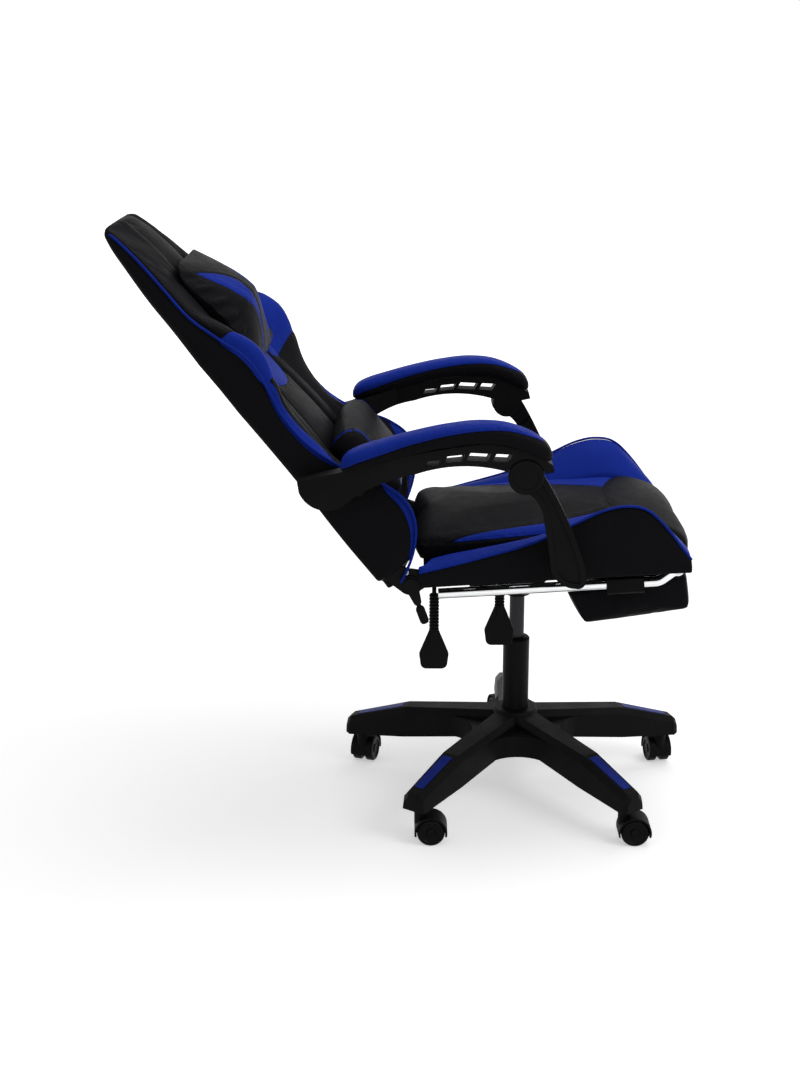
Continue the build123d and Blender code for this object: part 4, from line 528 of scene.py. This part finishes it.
rim = np.concatenate([
    back_place(back_line(climb, 1) + proud, back_line(climb, 2) + proud, climb),
    back_place(116 * over, -40 - 4 * (1 - over**4), 788 - 2 * over**8),
    back_place(-back_line(descent, 1) - proud, back_line(descent, 2) + proud, descent)])
piping = welt("back_piping", rim, 0.0024)
piping.data.materials.append(cover)
for piece, slot_name in ((cover_back, "black_leather"), (piping, "blue_leather")):
    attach(piece, "back")
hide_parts("back_cushion", "back_panel")


# Hinge screws: a zinc button head in each of the back's side plates, just above the recline hinge.
# The head is a turned dome with a socket in its middle.
profile = np.array([(0, 1.4), (1.9, 1.4), (2.2, 3.1), (3.4, 2.8), (4.5, 1.6), (4.8, 0.1), (0, 0.1)])
width, rise = profile[:, 0, None], profile[:, 1, None]
turn = np.linspace(0, 2 * np.pi, 24, endpoint=False)
for side, sign in (("left", 1), ("right", -1)):
    points = back_place(sign * (232.3 + rise + 0 * turn), 6 + width * np.cos(turn), 18 + width * np.sin(turn))
    screw = skin(f"hinge_screw_{side}", points)
    screw.data.materials.append(zinc)
    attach(screw, "back")

# Neck pillow: two sewn panels packed with fibre, strapped to the back, thickest below its middle.
# It is black with a slanting blue crescent near each end, and the end seams are gathered into small folds.
half_width, waist, drop = 142, 551, 100
turn = np.linspace(0, 2 * np.pi, 208, endpoint=False)[None]
step = np.concatenate([np.linspace(0, 1, 42), np.linspace(1, 0, 24)[1:]])[:, None]
front = np.concatenate([np.ones(42), -np.ones(23)])[:, None]
corner = (np.abs(np.cos(turn)) ** 7 + np.abs(np.sin(turn)) ** 7) ** (-1 / 7)
square_x, square_u = corner * np.cos(turn), corner * np.sin(turn)
reach = np.sin(step * np.pi / 2)
across = reach * square_x
top = 670 + 3 * across**2
across = half_width * across * (1 - 0.05 * np.cos(np.pi / 2 * reach * square_u) * across**2)
up = waist + np.where(square_u > 0, top - waist, drop) * reach * square_u
off_waist = np.where(up > waist, (up - waist) / np.maximum(top - waist, 1), (waist - up) / drop)
ridge = 1 - np.abs(off_waist) ** np.where(up > waist, 1.55, 1.3)
wide = np.abs(across)
belly = np.clip(1 - (wide / half_width) ** 2.2, 0, 1) ** 0.75
end = (wide / half_width) ** 6
rim = (1 - end) * (24 + 6 * np.clip(-square_u * reach, 0, 1) ** 3)
rim = rim + end * flowing(up, (451, 490, 540, 600, 640, 673), (36, 25, 15, 9, 8, 10))
bulged = np.clip(ridge, 0, 1) ** 0.9 * belly
ends = np.abs(square_x) ** 8 * np.clip((reach - 0.78) / 0.1, 0, 1) * np.clip((1 - reach) / 0.05, 0, 1)
waves = np.sin(19 * square_u + 3) + 0.8 * np.sin(31 * square_u + 1) * np.sin(7 * square_u)
folds = ends * np.clip((up - 480) / 50, 0, 1) * waves * 3.2
out = np.where(front > 0, rim + 56 * bulged + folds, rim - 12 * bulged ** 0.8)
knots = (452, 462, 474, 490, 504, 514, 526, 542, 562, 582, 602, 620, 632, 640, 648)
half_band = flowing(up, knots, (10, 9, 8.5, 7.5, 9, 12.5, 16, 20, 24.5, 28, 24, 15, 7, 0.5, -6))
band_line = flowing(up, knots, (80, 62, 48.5, 34.5, 29, 30.5, 34, 48, 55.5, 58, 70, 85, 97, 104.5, 112))
band = half_band - np.abs(wide - band_line)
edge_gap = 140 * (1 - reach)
blue = np.where(front > 0, band, -far_off)
out = out - np.where(front > 0, groove(band, 1.5, 6), 0)
held = (reach > 0.985) | ((front > 0) & (np.abs(band) < 2)) | (front < 0)
neck = skin("neck_pillow", back_place(across, out, up), {"blue": blue, "seam": edge_gap, "held": held})

# Lower back pillow: a boxed cushion with a rounded top and front, held by a strap behind the back.
# Two narrow blue bands go round it near the ends.
half_width = 157
across, out, up = block_grid((half_width, 34, 74), 30, 6)
fill = 1 + 0.05 * np.cos(np.pi / 2 * across / half_width)
out = 53 + out * np.where(out > 0, fill, 1)
up = 191 + up * fill
band = np.where(out > 30, 4.5 - np.abs(np.abs(across) - 130), -far_off)
held = (out < 24) | (np.abs(band) < 2)
lumbar = skin("lumbar_cushion", back_place(across, out, up), {"blue": band, "seam": far_off, "held": held})
for piece, node in ((neck, "head_pillow"), (lumbar, "lumbar_pillow")):
    piece.data.materials.append(cover)
    stuffed(piece, 0.004)
    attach(piece, "back")
    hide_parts(node)

# Armrests: hollow moulded nylon frames that turn on the back and on an upright from the seat.
# Each carries a long foam pad, blue above and black along its lower edge.
half_width, half_height, half_length, arm_apart = 32, 20, 176, 300
for side, sign in (("left", 1), ("right", -1)):
    dress(black_nylon, f"arm_frame_{side}", f"arm_disc_{side}", f"upright_{side}")
    across, height, along = block_grid((half_width, half_height, half_length), 15, 5)
    ahead = along - 142.5
    level = (height + half_height) / (2 * half_height)
    frame_top = flowing(ahead, (-320, -260, -201, -141, -82, -38, 1, 34),
                        (699, 716.5, 733, 746, 752, 747.5, 733, 717))
    tip = np.maximum(0, np.abs(along) / half_length - 0.72)
    draw = np.sqrt(np.clip(1 - tip ** 2 / 0.28**2, 0.02, 1))
    across = across * (0.55 + 0.45 * draw)
    above = 0.5 + (32 * (0.62 + 0.38 * draw) + 3 * (1 - (across / half_width) ** 2)) * level
    line = above - np.interp(along, (-176, -150, -60, 60, 120, 150, 176), (8, 14, 20, 24, 29, 31.5, 30))
    seam = np.where((level > 0.1) & (level < 0.97), np.abs(line), far_off)
    across = across - np.sign(across) * groove(np.minimum(seam, 60), 1.6, 5)
    points = np.stack(np.broadcast_arrays(sign * arm_apart + across, -ahead, frame_top + above), -1) / 1000
    held = (level < 0.08) | (seam < 2)
    pad = skin(f"arm_pad_cover_{side}", points, {"blue": line, "seam": far_off, "held": held})
    pad.data.materials.append(cover)
    stuffed(pad, 0.003)
    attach(pad, f"arm_{side}")
    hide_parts(f"arm_pad_{side}")

# Levers: bent steel rods in ribbed sleeves with teardrop paddles, and a rubber grip on the recline lever.
# They hang below the seat on the sitter's right.
dress(black_nylon, "lift_paddle", "lock_paddle")
dress(moulded("grip_rubber", (0.0030, 0.0030, 0.0030), (0.0060, 0.0060, 0.0060), 0.75, 0.6), "recline_grip")

# Footrest: chromed tubes that slide under the seat, with a padded flap that turns over on a rod.
# The pad is foam on a board, sewn in black leather with a welted edge.
dress(plated("chrome", (0.70, 0.71, 0.72), (0.82, 0.83, 0.84), 0.12, 0.06), "footrest_tubes")
dress(zinc, "footrest_rod")
half_width, half_height, half_length = 149, 36, 111
across, height, along = block_grid((half_width, half_height, half_length), 13, 6)
level = (half_height - height) / (2 * half_height)
ahead = along - 91 + 26 * level * np.clip(-along / half_length, 0, 1) ** 2
crown = 6 * (1 - (across / half_width) ** 2) * (1 - (along / half_length) ** 2)
above = -16 - level * (71 + crown)
tip = np.radians(5.0)
rod_ahead, rod_above = 272, -20
points = seat_place(across, rod_ahead + ahead * np.cos(tip) - above * np.sin(tip),
                    rod_above + ahead * np.sin(tip) + above * np.cos(tip))
seam = np.where((level > 0.02) & (level < 0.5), above + 26, np.copysign(far_off, above + 26))
sole = skin("footrest_cover", points,
            {"blue": -far_off, "seam": seam, "held": (level < 0.05) | (np.abs(seam) < 3)})
sole.data.materials.append(cover)
stuffed(sole, 0.004)
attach(sole, "footrest_flap")
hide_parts("footrest_cushion")

# Floor, light and camera: a white studio sweep under broad soft light, seen from the chair's right side.
# The floor and the sky show white to the lens, and the floor keeps the chair's shadow.
def white_rays(tree):
    """1 for rays from the lens and for those mirrored or passed on by metal and glass, else 0."""
    path = tree.nodes.new("ShaderNodeLightPath").outputs
    mirrored = math(tree, "MAXIMUM", path["Is Glossy Ray"], path["Is Transmission Ray"])
    return math(tree, "MAXIMUM", path["Is Camera Ray"], mirrored)


ground = bpy.data.meshes.new("floor")
ground.from_pydata([(-40, -40, 0), (40, -40, 0), (40, 40, 0), (-40, 40, 0)], [], [(0, 1, 2, 3)])
floor = bpy.data.objects.new("floor", ground)
bpy.context.scene.collection.objects.link(floor)
paper, tree, shader, place = material("floor_paper")
shader.inputs["Base Color"].default_value = (0.86, 0.86, 0.86, 1)
shader.inputs["Roughness"].default_value = 0.9
shader.inputs["Emission Color"].default_value = (1, 1, 1, 1)
far = tree.nodes.new("ShaderNodeVectorMath")
far.operation = "LENGTH"
tree.links.new(place, far.inputs[0])
glow = math(tree, "MULTIPLY", white_rays(tree), spread(tree, far.outputs["Value"], 0.45, 1.0, 1.3, 4.0))
tree.links.new(glow, shader.inputs["Emission Strength"])
ground.materials.append(paper)

world = bpy.data.worlds.new("studio")
bpy.context.scene.world = world
world.use_nodes = True
tree = world.node_tree
sky = tree.nodes["Background"]
sky.inputs["Color"].default_value = (1, 1, 1, 1)
tree.links.new(spread(tree, white_rays(tree), 0.42, 1.0, 0, 1), sky.inputs["Strength"])

for name, spot, size, power in (("key", (-2.0, -2.4, 2.6), 1.6, 36), ("top", (0.5, -0.4, 3.2), 2.4, 44)):
    lamp = bpy.data.lights.new(name, "AREA")
    lamp.size = size
    lamp.energy = power
    light = bpy.data.objects.new(name, lamp)
    light.location = spot
    light.rotation_euler = (Vector((0, 0.1, 0.6)) - Vector(spot)).to_track_quat("-Z", "Y").to_euler()
    bpy.context.scene.collection.objects.link(light)

camera = bpy.data.objects.new("camera", bpy.data.cameras.new("camera"))
camera.data.lens = 57.03
camera.location = (-3.033, 0.2016, 1.3918)
dip = np.radians(16.26)
sight = Vector((np.cos(dip), 0.0066 * np.cos(dip), -np.sin(dip)))
camera.rotation_euler = sight.to_track_quat("-Z", "Y").to_euler()
bpy.context.scene.collection.objects.link(camera)
bpy.context.scene.camera = camera
bpy.context.scene.view_settings.view_transform = "Standard"
